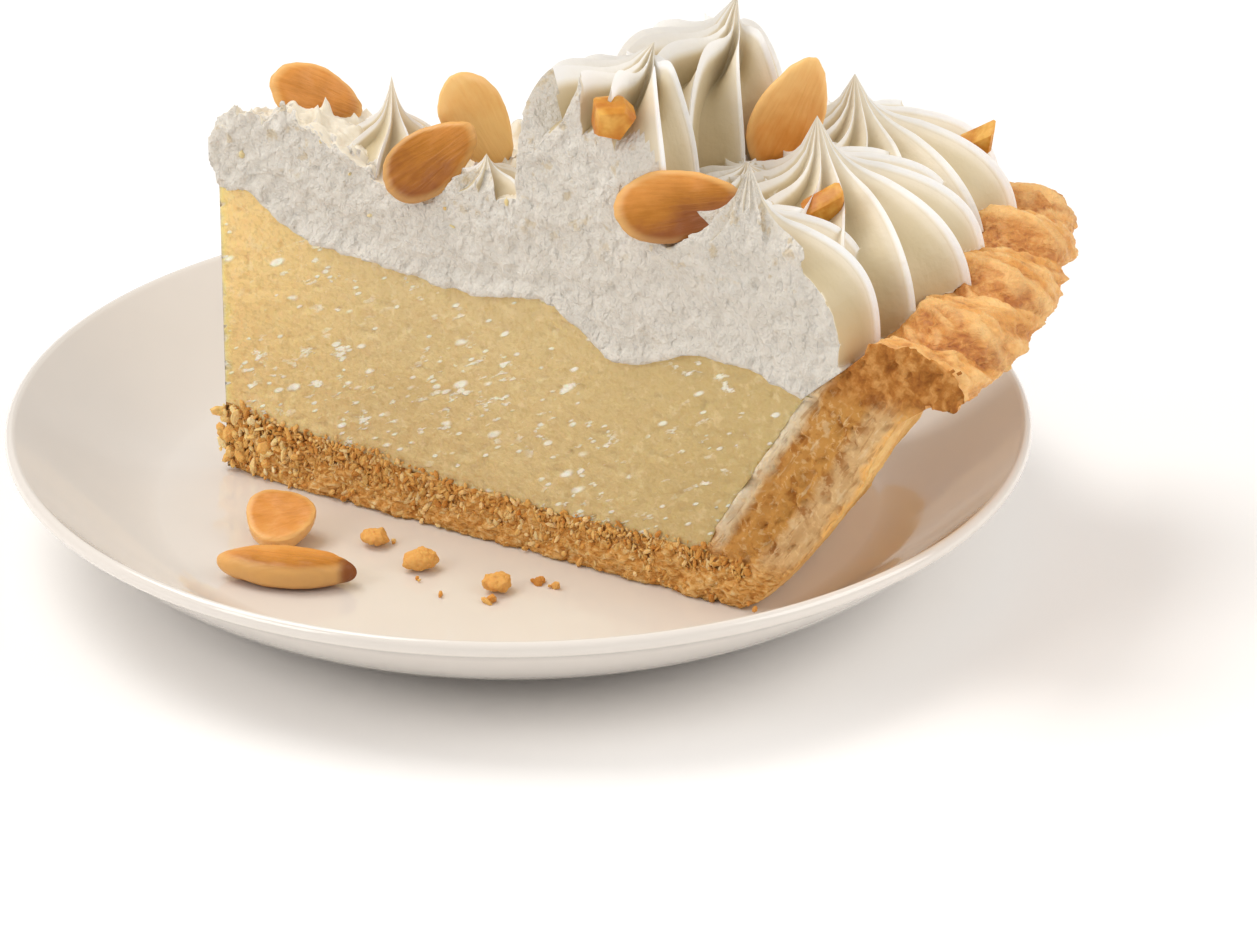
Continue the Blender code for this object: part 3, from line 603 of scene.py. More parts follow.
def piped_cream():
    """Smooth cream: ivory, with painted shade deeper in the hollows and a painted white highlight on the
    thin crests.
    """
    look = Look("piped_cream", roughness=0.4, specular_ior_level=0.3, **soft(0.3, 1.6, (1.0, 0.9, 0.75)))
    hollow_shade = look.attribute("hollow_shade")
    crest = look.attribute("crest")
    ivory = look.mix(look.grain(0.12), (238, 230, 214), (230, 219, 197))
    # painted shade in tan for the hollows, then a painted white highlight on the crests' thin lips
    panel = look.ramp(hollow_shade, (0.05, (222, 208, 179)), (0.45, (202, 185, 149)), (1.0, (206, 185, 146)))
    colour = look.layered(ivory, (hollow_shade.step(0.02, 0.25), panel), (crest.step(0.1, 0.6), (255, 255, 254)))
    grain = look.grain(1.6)
    folds = look.grain(0.3, detail=2.0)
    return look.set(base_color=colour, normal=look.bump(grain * 0.25 + folds, 0.2))


def cut_cream():
    """Cream that the knife has dragged: dull, with slanted marks and pale veils."""
    look = Look("cut_cream", roughness=0.6, specular_ior_level=0.3, **soft(0.2, 1.0, (1.0, 0.85, 0.7)))
    dragged = look.stretched(look.where, (1.0, 1.0, 0.65), (0.0, 24.0, 0.0))
    drag = look.noise(dragged, 0.6)
    cream = look.mix(look.grain(0.16), (228, 222, 212), (218, 211, 199))
    veil = look.noise(dragged, 0.35).step(0.5, 0.7)
    # tan pits in the torn upper edge
    pits = look.grain(0.4).step(0.58, 0.68) * look.polar()[1].step(51.0, 57.0)
    colour = look.layered(cream, (veil * 0.5, (236, 231, 221)), (pits * 0.55, (206, 184, 142)))
    height = drag * 0.8 + look.grain(0.9, detail=2.0) * 0.4
    return look.set(base_color=colour, normal=look.bump(height, 1.7))


def custard_look():
    """Moist yellow custard: lighter at the tip, with curds, pores in painted shade, and wet spots with
    painted glints.
    """
    look = Look("custard", specular_ior_level=0.5, **soft(0.45, 2.5, (1.0, 0.6, 0.25)))
    radius, height = look.polar()
    tip = radius.step(36.0, 0.0) * (0.5 + height.step(10.0, 46.0) * 0.5)
    curds = look.grain(0.5, detail=4.0)
    # pores: small dark spots of painted shade
    pores = look.grain(1.3).step(0.52, 0.36)
    colour = look.layered(
        look.mix(look.grain(0.1, detail=4.0), (228, 204, 150), (219, 193, 137)), (tip, (246, 212, 142)),
        (radius.step(52.0, 100.0) * 0.75, (203, 177, 118)), (curds.step(0.54, 0.68) * 0.4, (242, 222, 174)),
        (pores * 0.3, (196, 164, 102)))
    # wet spots with painted glints: some of the scattered points, more of them in a few zones and in a low
    # band
    level = (height - GLINT_HEIGHT) / GLINT_SPREAD
    low_band = (-(level * level)).math("EXPONENT")
    zone = look.grain(0.055, detail=2.0) + radius.step(70.0, 15.0) * 0.06 + low_band * 0.1 - 0.03
    slanted = look.streaked(look.where, 2.6, 30.0)
    wet_and_glint = look.noise(slanted, 0.7).step(0.6, 0.68) * zone.step(0.45, 0.58)
    for scale, size, share in GLINTS:
        distance, own_colour = look.cells(slanted, scale)[:2]
        chance = look.add("ShaderNodeSeparateColor", {}, {0: own_colour})[0]
        picked = (chance + (zone - 0.5) * 1.6).step(share, share + 0.05)
        wet_and_glint = wet_and_glint.math("MAXIMUM", distance.step(size * 1.4, size * 0.7) * picked)
    # painted glints: the wet spots painted near white
    colour = look.mix(wet_and_glint * 0.9, colour, (255, 252, 236))
    relief = curds + wet_and_glint * 0.35 + look.grain(1.8, detail=2.0) * 0.35
    return look.set(base_color=colour, roughness=0.36 - wet_and_glint * 0.24, normal=look.bump(relief, 0.5))


def baked_skin():
    """Crimp and outer wall: painted highlights on the crests, painted shade on the mottled fronts and in the
    creases, golden backs, and a paler golden wall painted lighter still as painted light.
    """
    look = Look("baked_skin", roughness=0.5, specular_ior_level=0.4, coat_weight=0.1, coat_roughness=0.3,
                **soft(0.08, 1.5))
    shade = look.attribute("shade")
    light = look.attribute("light")
    height = look.polar()[1]
    tone = look.grain(0.2, detail=5.0, warp=0.4)
    fine = look.noise(look.stretched(look.where, (1.0, 1.0, 2.0)), 0.6, detail=5.0, warp=0.8)
    golden = look.ramp(tone, (0.3, (214, 142, 66)), (0.5, (230, 164, 84)), (0.7, (246, 194, 122)))
    # painted shade: deep brown for the fronts and creases
    deep = look.ramp(fine * 0.6 + tone * 0.4, (0.34, (164, 92, 34)), (0.5, (206, 136, 64)),
                     (0.66, (238, 182, 110)))
    # the outer wall below the crimp: a paler golden skin, painted lighter still as painted light on that
    # side
    wall = look.ramp(tone, (0.3, (236, 178, 98)), (0.7, (252, 214, 140)))
    # painted highlight in pale gold on the crests
    colour = look.layered(golden, (shade.step(0.05, 0.75), deep), (light.clamp() * 0.6, (250, 206, 138)),
                          (height.step(39.0, 33.0) * 0.8, wall))
    return look.set(base_color=colour, normal=look.bump(fine * 0.7 + look.grain(1.7) * 0.3, 0.9))


def crumb_face():
    """Cut crust: dark crumbly base, and the wall's flaky, spongy and layered bands."""
    look = Look("crumb_face", roughness=0.78, specular_ior_level=0.25, **soft(0.15, 1.2, (1.0, 0.6, 0.3)))
    radius, height = look.polar()
    fine = look.grain(0.9, detail=5.0)
    slanted = look.stretched(look.where, (1.0, 1.0, 2.2), (0.0, 25.0, 0.0))
    shreds = look.noise(slanted, 0.8, detail=4.0, warp=0.6)
    base = look.ramp(shreds * 0.7 + fine * 0.3, (0.34, (178, 112, 44)), (0.46, (212, 150, 74)),
                     (0.58, (236, 186, 116)), (0.72, (250, 222, 170)))
    inner = height * WALL_SLOPE + (WALL_INNER_FOOT - WALL_INNER_FOOT_HEIGHT * WALL_SLOPE)
    outer = (height * WALL_OUTER[2] + WALL_OUTER[1]) * height + WALL_OUTER[0]
    wobble = (look.grain(0.16) - 0.5) * 0.3
    across = (radius - inner) / (outer - inner) + wobble
    # fibres that run up the wall; their coordinates are in millimetres already
    fibre_place = look.combine(radius - height * 0.62, height * 0.2, 0.0)
    fibres = look.noise(fibre_place, 1.2 * MM, detail=4.0, warp=0.4)
    sponge = look.grain(0.36, detail=5.0, warp=0.4)
    flecks = look.grain(1.1, detail=4.0, warp=0.3).step(0.56, 0.64)
    band = look.ramp(across, (0.0, (238, 222, 194)), (0.12, (222, 196, 156)), (0.2, (200, 144, 74)),
                     (0.6, (202, 146, 72)), (0.7, (212, 172, 120)), (0.92, (220, 180, 126)),
                     (0.99, (244, 188, 110)))
    # painted shade in the sponge's holes and in the slots between the fibres
    hole_shade = sponge.step(0.5, 0.36) * across.step(0.1, 0.22) * across.step(0.86, 0.7)
    slot_shade = fibres.step(0.46, 0.36) * (1.0 - across.step(0.14, 0.24) * across.step(0.74, 0.62))
    band = look.layered(band, (hole_shade * 0.75, (158, 94, 26)), (slot_shade * 0.5, (170, 116, 58)),
                        (flecks * 0.4, (240, 208, 156)), (sponge.step(0.6, 0.7) * 0.4, (236, 210, 166)),
                        (fibres.step(0.6, 0.7) * 0.45, (242, 216, 172)))
    wall = radius.step(*WALL_FROM_RADIUS) * height.step(*WALL_FROM_HEIGHT)
    crimp = height.step(36.0, 42.0) * radius.step(108.0, 114.0)
    brown = look.ramp(sponge * 0.6 + fine * 0.4, (0.36, (146, 84, 28)), (0.5, (180, 116, 48)),
                      (0.64, (214, 156, 88)))
    colour = look.layered(base, (wall, band), (crimp, brown))
    relief = (fine * 0.5 + shreds * 0.8) * (1.0 - wall) + (sponge * 0.4 + fibres * 0.4 + fine * 0.4) * wall
    return look.set(base_color=colour, normal=look.bump(relief, 0.9))


def toasted():
    """Nut slices: pale gold to deep orange brown, with fine streaks and a pale rim."""
    look = Look("toasted_nut", roughness=0.4, specular_ior_level=0.45, **soft(0.08, 1.2, (1.0, 0.6, 0.3)))
    map_uv = look.add("ShaderNodeUVMap")[0]
    u, v, _ = look.separate(map_uv)
    rim = (u * u + v * v) ** 0.5
    toast = look.attribute("toast")
    # the map runs from -1 to 1 and has no unit
    streaks = look.noise(look.stretched(map_uv, (0.6, 3.5, 1.0)), 2.2 * MM, detail=4.0)
    blotch = look.grain(0.2, detail=4.0)
    depth = toast + (blotch - 0.5) * 0.4 + (streaks - 0.5) * 0.3
    colour = look.ramp(depth, (0.0, (248, 204, 132)), (0.25, (238, 180, 104)), (0.5, (220, 146, 64)),
                       (0.75, (180, 113, 26)), (1.0, (138, 74, 14)))
    pale = rim.step(0.78, 0.97) * (1.0 - toast * 0.35) * toast.step(1.5, 0.8)
    colour = look.mix(pale * 0.75, colour, (242, 194, 122))
    return look.set(base_color=colour, normal=look.bump(streaks + blotch * 0.6, 0.16))


def broken_nut():
    """Chips: light golden yellow, deeper orange at one side."""
    look = Look("broken_nut", roughness=0.4, specular_ior_level=0.4, **soft(0.2, 1.5))
    tone = look.grain(0.22)
    colour = look.ramp(tone, (0.36, (190, 116, 30)), (0.5, (208, 140, 46)), (0.64, (232, 178, 84)))
    return look.set(base_color=colour, normal=look.bump(look.grain(1.1), 0.12))


def crumb_look(name, *colours):
    """Crumbs of several shades: each has its own, and a little noise."""
    look = Look(name, roughness=0.7, specular_ior_level=0.3, **soft(0.3, 1.0, (1.0, 0.6, 0.3)))
    own = look.attribute("tone")
    tone = own * 0.75 + look.grain(0.9) * 0.25
    stops = [(k / (len(colours) - 1), colour) for k, colour in enumerate(colours)]
    return look.set(base_color=look.ramp(tone, *stops), normal=look.bump(look.grain(1.4), 0.4))


def plain(name, colour, roughness):
    """One colour all over."""
    return Look(name, base_color=(*srgb(*colour), 1.0), roughness=roughness).material


# ---------------------------------------------------------------- Geometry Nodes

class Recipe(Tree):
    """A Geometry Nodes tree with named inputs, run on an object and turned into plain mesh."""

    def __init__(self, name, inputs):
        group = bpy.data.node_groups.new(name, "GeometryNodeTree")
        super().__init__(group)
        self.keys = {}
        group.interface.new_socket("Geometry", in_out="OUTPUT", socket_type="NodeSocketGeometry")
        group.interface.new_socket("Geometry", in_out="INPUT", socket_type="NodeSocketGeometry")
        for label, kind in inputs.items():
            socket = group.interface.new_socket(label, in_out="INPUT", socket_type="NodeSocket" + kind)
            self.keys[label] = socket.identifier
        self.given = dict(zip(("Geometry", *inputs), self.add("NodeGroupInput")))

    def keep(self, geometry, label, value, domain="POINT"):
        """Keep a number as an attribute that a material reads."""
        return self.add("GeometryNodeStoreNamedAttribute", {"data_type": "FLOAT", "domain": domain}, {
            "Geometry": geometry, "Name": label, "Value": value})[0]

    def random(self, seed):
        """A random number from 0 to 1 for each point."""
        return self.add("FunctionNodeRandomValue", {"data_type": "FLOAT"}, {2: 0.0, 3: 1.0, "Seed": seed})[1]

    def random_vector(self, low, high, seed):
        """Three random numbers from low to high for each point."""
        return self.add("FunctionNodeRandomValue", {"data_type": "FLOAT_VECTOR"}, {
            0: (low, low, low), 1: (high, high, high), "Seed": seed})[0]

    def scaled(self, vector, factor):
        return self.add("ShaderNodeVectorMath", {"operation": "SCALE"}, {0: vector, "Scale": factor})[0]

    def close(self, geometry, material):
        """The last nodes: instances made real, then the material."""
        real = self.add("GeometryNodeRealizeInstances", {}, {"Geometry": geometry})[0]
        done = self.add("GeometryNodeSetMaterial", {}, {"Geometry": real, "Material": material})[0]
        self.add("NodeGroupOutput", {}, {0: done})

    def run(self, obj, **values):
        """Run the recipe on an object with values for its named inputs."""
        modifier = obj.modifiers.new("recipe", "NODES")
        modifier.node_group = self.tree
        for label, value in values.items():
            modifier[self.keys[label.capitalize()]] = value
        return applied(obj)


def swirl_recipe():
    """A star swirl: blade-like ridges over a round shoulder, drawn up into a thin peak."""
    recipe = Recipe("star_swirl", {
        "Size": "Float", "Dome": "Float", "Pull": "Float", "Ridges": "Int", "First": "Float",
        "Shoulder": "Float", "Lean": "Vector", "Twist": "Float", "Uneven": "Float", "Crown": "Float",
        "Material": "Material"})
    given = recipe.given
    size, dome, ridges = given["Size"], given["Dome"], given["Ridges"]
    grid = recipe.add("GeometryNodeMeshGrid", {}, {
        "Size X": 1.0, "Size Y": 1.0, "Vertices X": SWIRL_ROWS,
        "Vertices Y": ridges * POINTS_PER_RIDGE + 1})[0]
    x, y, _ = recipe.separate(recipe.add("GeometryNodeInputPosition")[0])
    # rows run from the middle of the foot to its edge, then up to the peak
    row = (x + 0.5) * (SWIRL_ROWS - 1.0)
    climb = ((row - 1.0) / (SWIRL_ROWS - 2.0)).clamp()
    bend = (1.0 - climb) * (math.pi / 2)
    power = 2.0 / given["Shoulder"]
    out = bend.math("SINE").clamp() ** power
    up = bend.math("COSINE").clamp() ** power
    # place in a ridge, with points crowded at its crest
    even = ridges * (y + 0.5) + 0.0001
    part = even.math("FRACT")
    crowd = (part * FULL_TURN).math("SINE") * (0.75 / FULL_TURN)
    part = part - crowd
    turn = (even - crowd) / ridges * FULL_TURN
    # one ridge: a thin lip, a steep drop after it, then a long hollow that rises to the next
    drop = (1.0 - part / RIDGE_DROP).clamp() ** 1.3
    rise = ((part - RIDGE_DROP) / (1.0 - RIDGE_DROP)).clamp() ** 2.0
    ridge = drop.math("MAXIMUM", rise)
    beside = part.math("MINIMUM", 1.0 - part) / RIDGE_LIP
    lip = (-(beside * beside)).math("EXPONENT")
    fade = (out / 0.4).clamp()
    reach = size * out * (0.89 + ridge * 0.155 + lip * 0.035)
    base = (row - 0.5).clamp().math("CEIL")         # 0 in the middle of the foot, 1 everywhere else
    reach = reach * base
    height = dome * up * (1.0 + (ridge * 1.5 + lip * 0.3 - 1.0) * fade * 0.13)
    # a crown of ridges that stand up at the shoulder, on the side that looks to -Y
    crown = (((out - CROWN_PLACE) / CROWN_WIDTH) * ((out - CROWN_PLACE) / -CROWN_WIDTH)).math("EXPONENT")
    crown = crown * ridge * base * (0.5 - (turn + given["First"]).math("SINE") * 0.5)
    pull = (out * (-1 / PEAK_WIDTH)).math("EXPONENT") * base
    height = height + given["Crown"] * crown + given["Pull"] * pull
    inward = (1.0 - out) * (1.0 - out)
    wander = (turn * 3.0 + given["First"] * 2.0).math("SINE") * given["Uneven"]
    wander = wander + (turn * 2.0 + given["First"]).math("COSINE") * given["Uneven"]
    heading = turn + given["First"] + given["Twist"] * inward + wander * fade
    lean_x, lean_y, _ = recipe.separate(given["Lean"])
    spot = recipe.combine(reach * heading.math("COSINE") + lean_x * inward,
                          reach * heading.math("SINE") + lean_y * inward, height)
    # for the material: painted shade in the hollows, stronger low on the swirl, and the lip kept as crest
    # for a painted highlight
    hollow_shade = (1.0 - ridge) * fade * (0.45 + up.step(1.0, 0.2) * 0.55)
    marked = recipe.keep(recipe.keep(grid, "hollow_shade", hollow_shade), "crest", lip)
    shaped = recipe.add("GeometryNodeSetPosition", {}, {"Geometry": marked, "Position": spot})[0]
    closed = recipe.add("GeometryNodeMergeByDistance", {}, {"Geometry": shaped, "Distance": 0.004 * MM})[0]
    recipe.close(closed, given["Material"])
    return recipe


def crumb_recipe():
    """Uneven crumbs strewn over a surface; each keeps a random tone for its material."""
    recipe = Recipe("strewn_crumbs", {
        "Density": "Float", "Apart": "Float", "Size": "Float", "Shape": "Vector", "Rough": "Float",
        "Seed": "Int", "Material": "Material"})
    given = recipe.given
    points = recipe.add("GeometryNodeDistributePointsOnFaces", {"distribute_method": "POISSON"}, {
        "Mesh": given["Geometry"], "Distance Min": given["Apart"], "Density Max": given["Density"],
        "Seed": given["Seed"]})[0]
    ball = recipe.add("GeometryNodeMeshUVSphere", {}, {"Radius": 1.0, "Segments": 7, "Rings": 4})[0]
    turn = recipe.random_vector(0.0, FULL_TURN, given["Seed"])
    grade = recipe.random(given["Seed"] + 1.0)
    size = given["Size"] * (0.45 + grade * grade * 1.1)
    uneven = recipe.random_vector(0.65, 1.35, given["Seed"] + 2.0)
    shape = recipe.add("ShaderNodeVectorMath", {"operation": "MULTIPLY"}, {0: given["Shape"], 1: uneven})[0]
    strewn = recipe.add("GeometryNodeInstanceOnPoints", {}, {
        "Points": points, "Instance": ball, "Rotation": turn, "Scale": recipe.scaled(shape, size)})[0]
    marked = recipe.keep(strewn, "tone", recipe.random(given["Seed"] + 3.0), domain="INSTANCE")
    # made real before they are roughened, so that no two crumbs are alike
    real = recipe.add("GeometryNodeRealizeInstances", {}, {"Geometry": marked})[0]
    where = recipe.add("GeometryNodeInputPosition")[0]
    lumps = recipe.noise(where, 0.9, detail=2.0, roughness=0.5)
    offset = recipe.scaled(recipe.add("GeometryNodeInputNormal")[0],
                           (lumps - 0.5) * given["Rough"] * given["Size"])
    rough = recipe.add("GeometryNodeSetPosition", {}, {"Geometry": real, "Offset": offset})[0]
    recipe.close(rough, given["Material"])
    return recipe


# ---------------------------------------------------------------- plate

def make_plate(look):
    """Turned plate with a rolled lip and a ring foot. Its profile runs from the middle of the
    well over the lip and under it to the middle of the underside."""
    lip_radius = PLATE_RADIUS - LIP_ROUNDING
    t = np.linspace(0.0, 1.0, 40)
    top = [(WELL_RADIUS * share, WELL_LEVEL) for share in (0.0, 0.4, 0.8)]
    top += list(zip(WELL_RADIUS + (lip_radius - WELL_RADIUS) * t, WELL_LEVEL + LIP_RISE * t ** LIP_CURVE))
    a = np.radians(np.linspace(12, 178, 16))
    lip = list(zip(lip_radius + LIP_ROUNDING * np.sin(a),
                   WELL_LEVEL + LIP_RISE - LIP_THICKNESS / 2 * (1 - np.cos(a))))
    flare = FOOT_RADIUS + FOOT_FLARE
    low = WELL_LEVEL - PLATE_THICKNESS
    high = WELL_LEVEL + LIP_RISE - LIP_THICKNESS
    back = np.linspace(1.0, 0.0, 24)[1:]
    under = list(zip(flare + (lip_radius - LIP_ROUNDING - flare) * back,
                     low + (high - low) * back ** UNDERSIDE_CURVE))
    a = np.radians(np.linspace(0, 180, 9))
    foot = list(zip(FOOT_RADIUS - FOOT_WIDTH / 2 + FOOT_WIDTH / 2 * np.cos(a),
                    FOOT_ROUNDING * (1 - np.sin(a))))
    foot += [(FOOT_RADIUS - FOOT_WIDTH - FOOT_INNER_FLARE, low), (0.0, low)]
    profile = np.array(top + lip + under + foot)
    turn = np.linspace(0, FULL_TURN, PLATE_SIDES, endpoint=False)[None, :]
    points = np.stack([PLATE_CENTRE.x + profile[:, :1] * np.cos(turn),
                       PLATE_CENTRE.y + profile[:, :1] * np.sin(turn),
                       np.broadcast_to(profile[:, 1:], (len(profile), PLATE_SIDES))], -1)
    faces = quads(len(profile), PLATE_SIDES, wrap=True)
    return finish(tidy(new_object("glazed_plate", points.reshape(-1, 3), faces, look)), "plate")


# ---------------------------------------------------------------- crust

def outer_radius(height):
    """Radius of the wall's outer side, which is gently curved."""
    first, slope, curve = WALL_OUTER
    return first + slope * height + curve * height * height


def wall_radius(height):
    """Radius of the wall's inner side."""
    return WALL_INNER_FOOT + WALL_SLOPE * (height - WALL_INNER_FOOT_HEIGHT)


def fold(angle, turn):
    """Height of the fold from 0 to 1, place in it, place of its crest, and the fold's number."""
    place_of = (angle - FOLD_START - FOLD_TURN * (1 - np.sin(turn))) / FOLD_PITCH
    number = np.floor(place_of)
    part = place_of - number
    crest = np.clip(0.08 + 0.235 * turn, 0.08, 0.7)
    ridge = np.minimum((part / crest) ** 0.85, ((1 - part) / (1 - crest)) ** 0.8)
    return ridge, part, crest, number


def crimp_outline(angle, turn):
    """Radius, height, shade and light of the crimp at angles round the pie and its section."""
    ridge, part, crest, number = fold(angle, turn)
    # the folds fade out at both ends of the section
    fade = np.minimum(1.0, (np.degrees(turn) + 75) / 45) * np.minimum(1.0, (160 - np.degrees(turn)) / 40)
    sink = CRIMP_SINK * np.clip((angle - SINK_START) / (BACK_ANGLE - SINK_START), 0.0, 1.0)
    # on a fold's back lie two or three long wrinkles beside its crest
    back = (part - crest) / (1 - crest)
    lines = 1 - 2 * np.abs(FIELD.smooth(back * 2.7 + number * 5.3, turn * 0.9, 2.0))
    flake = FIELD.rough(angle * 110, turn * 4.0, 5.0)
    behind = smoothstep(-0.02, 0.08, back)
    wrinkles = FIELD.rough(back * 3.6 + number * 3.7, turn * 1.5, 7.0)
    push = (0.6 * (lines - 0.4) * behind + 0.75 * wrinkles + 0.35 * flake - 0.2) * fade
    upper = CRIMP_RISE + FOLD_RISE * ridge * fade
    tall = np.where(turn > 0, upper, CRIMP_DROP)
    wide = CRIMP_HALF_WIDTH + (0.9 * ridge - 0.4) * fade
    radius = CRIMP_RADIUS + (wide + push) * np.cos(turn)
    height = CRIMP_HEIGHT - sink * fade + (tall + push) * np.sin(turn)
    # painted shade on the folds' fronts, in the gaps between them and in the wrinkles' creases; painted
    # highlights on the crests and on the raised wrinkles
    front = (1 - behind) * smoothstep(0.98, 0.7, part / crest)
    gap_shade = np.maximum(smoothstep(0.16, 0.0, part), smoothstep(0.93, 1.0, part))
    crease_shade = 0.4 * smoothstep(0.2, -0.6, lines) * behind + 0.55 * smoothstep(0.0, -0.4, wrinkles)
    shade = np.clip(0.5 * front + 0.8 * gap_shade + crease_shade, 0, 1) * fade
    light = 0.8 * np.exp(-((part - crest) / 0.07) ** 2) + 0.4 * smoothstep(0.55, 0.95, lines) * behind
    light = light + 0.6 * smoothstep(0.1, 0.5, wrinkles)
    return radius, height, np.broadcast_to(shade, radius.shape), np.broadcast_to(light * fade, radius.shape)


def crust_section(fine):
    """Section function of the crust; without fine it has few points and serves as a cutter. The
    section runs along the underside, up the outer wall, round the crimp and down the inside."""
    turns = np.radians(np.linspace(*CRIMP_SPAN, 120 if fine else 28))
    levels = np.linspace(*WALL_LEVELS, 46 if fine else 8)
    inner = np.array([WALL_TOP, (WALL_TOP + WALL_INNER_FOOT_HEIGHT) / 2, WALL_INNER_FOOT_HEIGHT])
    base = np.array(BASE_TOP[::-1])
    under = np.array([0.0, WALL_OUTER[0] / 2, WALL_OUTER[0] - 1.5])

    def section(angle):
        flat = np.ones_like(angle)
        wave = 0.5 * FIELD.smooth(angle * 22, levels * 0.12, 3.1)
        wave = wave + 0.25 * FIELD.rough(angle * 120, levels * 0.5, 6.0)
        recede = smoothstep(0.0, 1.0, (angle - FRONT_ANGLE) / RECEDE_ANGLE)
        outer = outer_radius(levels) + wave - WALL_RECEDE * recede * np.minimum(1, levels / RECEDE_HEIGHT)
        crimp_radius, crimp_height = crimp_outline(angle, turns[None, :])[:2]
        radii = [under * flat, outer, crimp_radius, CRIMP_INNER_EDGE[0] * flat,
                 wall_radius(inner) * flat, base[:, 0] * flat]
        heights = [0.0 * under * flat, levels * flat, crimp_height, CRIMP_INNER_EDGE[1] * flat,
                   inner * flat, base[:, 1] * flat]
        return np.concatenate(radii, 1), np.concatenate(heights, 1)

    return section


def crumb_relief(s, h, side):
    """The broken face of the crust: clumps and grains in the base, sponge in the wall. In this
    and the other reliefs each kind of lump has its height and its widths in millimetres."""
    z = 5.0 * side
    spread = 1.3 * np.clip(1 - h / 8, 0, 1) * np.clip(s / 8, 0, 1)
    clumps = 1.0 * FIELD.smooth(s / 5, h / 5, z)
    nearest, second = FIELD.cells(s / 1.9, h / 1.9, z)
    grains = 1.1 * np.clip(second - nearest, 0, 0.6)
    small = 0.5 * FIELD.rough(s / 1.3, h / 1.3, z + 3, octaves=2)
    wall = smoothstep(*WALL_FROM_RADIUS, s) * smoothstep(*WALL_FROM_HEIGHT, h)
    layers = 0.35 * FIELD.rough((s - WALL_SLOPE * h) / 1.5, (h + 0.6 * s) / 9, z + 9, octaves=2)
    pits = -1.0 * smoothstep(0.25, 0.6, FIELD.rough(s / 2.6, h / 3.2, z + 14, octaves=2))
    base = spread + clumps + grains + small - 0.3
    return base * (1 - wall) + (0.4 * clumps + 0.6 * small + layers + pits) * wall


def past_the_cuts(degrees, count):
    """Angles from before one cut face to behind the other."""
    return np.linspace(FRONT_ANGLE - math.radians(degrees), BACK_ANGLE + math.radians(degrees), count)


def make_crust(skin, crumb):
    """Crust cut to the slice, with the crimp's painted shade and highlights kept on its points."""
    crust = sweep("baked_crust", crust_section(True), past_the_cuts(4.5, 186), skin, crumb)
    boolean(crust, "INTERSECT", wedge("crust_cut", crumb_relief, (-4.0, 60.0), spacing=0.55))
    cut_faces(crust, slack=3.2 * MM, high_slack=1.6 * MM)
    spot = (positions(crust) - np.array((TIP.x, TIP.y, FLOOR))) / MM
    radius = np.hypot(spot[:, 0], spot[:, 1])
    angle = np.arctan2(spot[:, 1], spot[:, 0])
    turn = np.arctan2((spot[:, 2] - CRIMP_HEIGHT) / CRIMP_HALF_HEIGHT,
                      (radius - CRIMP_RADIUS) / CRIMP_HALF_WIDTH)
    shade, light = crimp_outline(angle, turn)[2:]
    on_crimp = smoothstep(36.5, 39.0, spot[:, 2] - 0.2 * (radius - CRIMP_RADIUS))
    store(crust, "shade", shade * on_crimp)
    store(crust, "light", light * on_crimp)
    return finish(crust, "crust")


# ---------------------------------------------------------------- custard and cream

def custard_section(angle):
    """Filling from just inside the crust to its wavy top."""
    flat = np.ones_like(angle)
    low = np.array(BASE_TOP)
    side = np.array([WALL_INNER_FOOT_HEIGHT, 24.0, WALL_TOP])
    top = np.linspace(108.0, 0.0, 60)
    radii = [low[:, 0] * flat, wall_radius(side) * flat, top * flat]
    heights = [(low[:, 1] - 0.3) * flat, side * flat, along(CUSTARD_TOP, top) * flat]
    return np.concatenate(radii, 1), np.concatenate(heights, 1)


def custard_relief(s, h, side):
    """Knife waves, small curds and pores."""
    z = side * 4
    waves = 0.3 * FIELD.smooth(s / 11, h / 7, z)
    curds = 0.22 * FIELD.rough(s / 2.2, h / 1.8, z + 2)
    pores = -0.4 * smoothstep(0.35, 0.7, FIELD.smooth(s / 2.0, h / 1.4, z + 5))
    return waves + curds + pores


def make_custard(look):
    """Filling cut to the slice."""
    custard = sweep("custard_filling", custard_section, past_the_cuts(6, 40), look)
    boolean(custard, "INTERSECT", wedge("custard_cut", custard_relief, (2.0, 56.0), spacing=0.55,
                                        reach=118.0))
    return finish(custard, "custard")


def cream_section(angle):
    """Layer of cream from just under the custard's top to the feet of the swirls."""
    flat = np.ones_like(angle)
    radii = CREAM_RADIUS * np.linspace(0.0, 1.0, 180) ** 1.25
    near = np.clip(radii / 4, 0, 1)
    ragged = FIELD.rough(radii / 3.5, angle * radii / 3.5, 0.4, octaves=4)
    torn = (np.clip(1 - radii / 44, 0, 1) + 0.25 + 0.6 * np.exp(-((radii - 46) / 9) ** 2)) * near
    spikes = smoothstep(0.3, 0.9, FIELD.smooth(radii / 2.3, angle * radii / 2.3, 8.0)) * torn
    top = along(CREAM_TOP, radii) * flat + 1.8 * ragged * torn + 2.8 * spikes
    wiggle = 0.5 * near * FIELD.rough(radii / 4.5, angle * 6, 9.0, octaves=2)
    low = along(CUSTARD_TOP, radii) * flat - 0.4 + wiggle
    return np.concatenate([radii * flat, radii[::-1] * flat], 1), np.concatenate([low, top[:, ::-1]], 1)


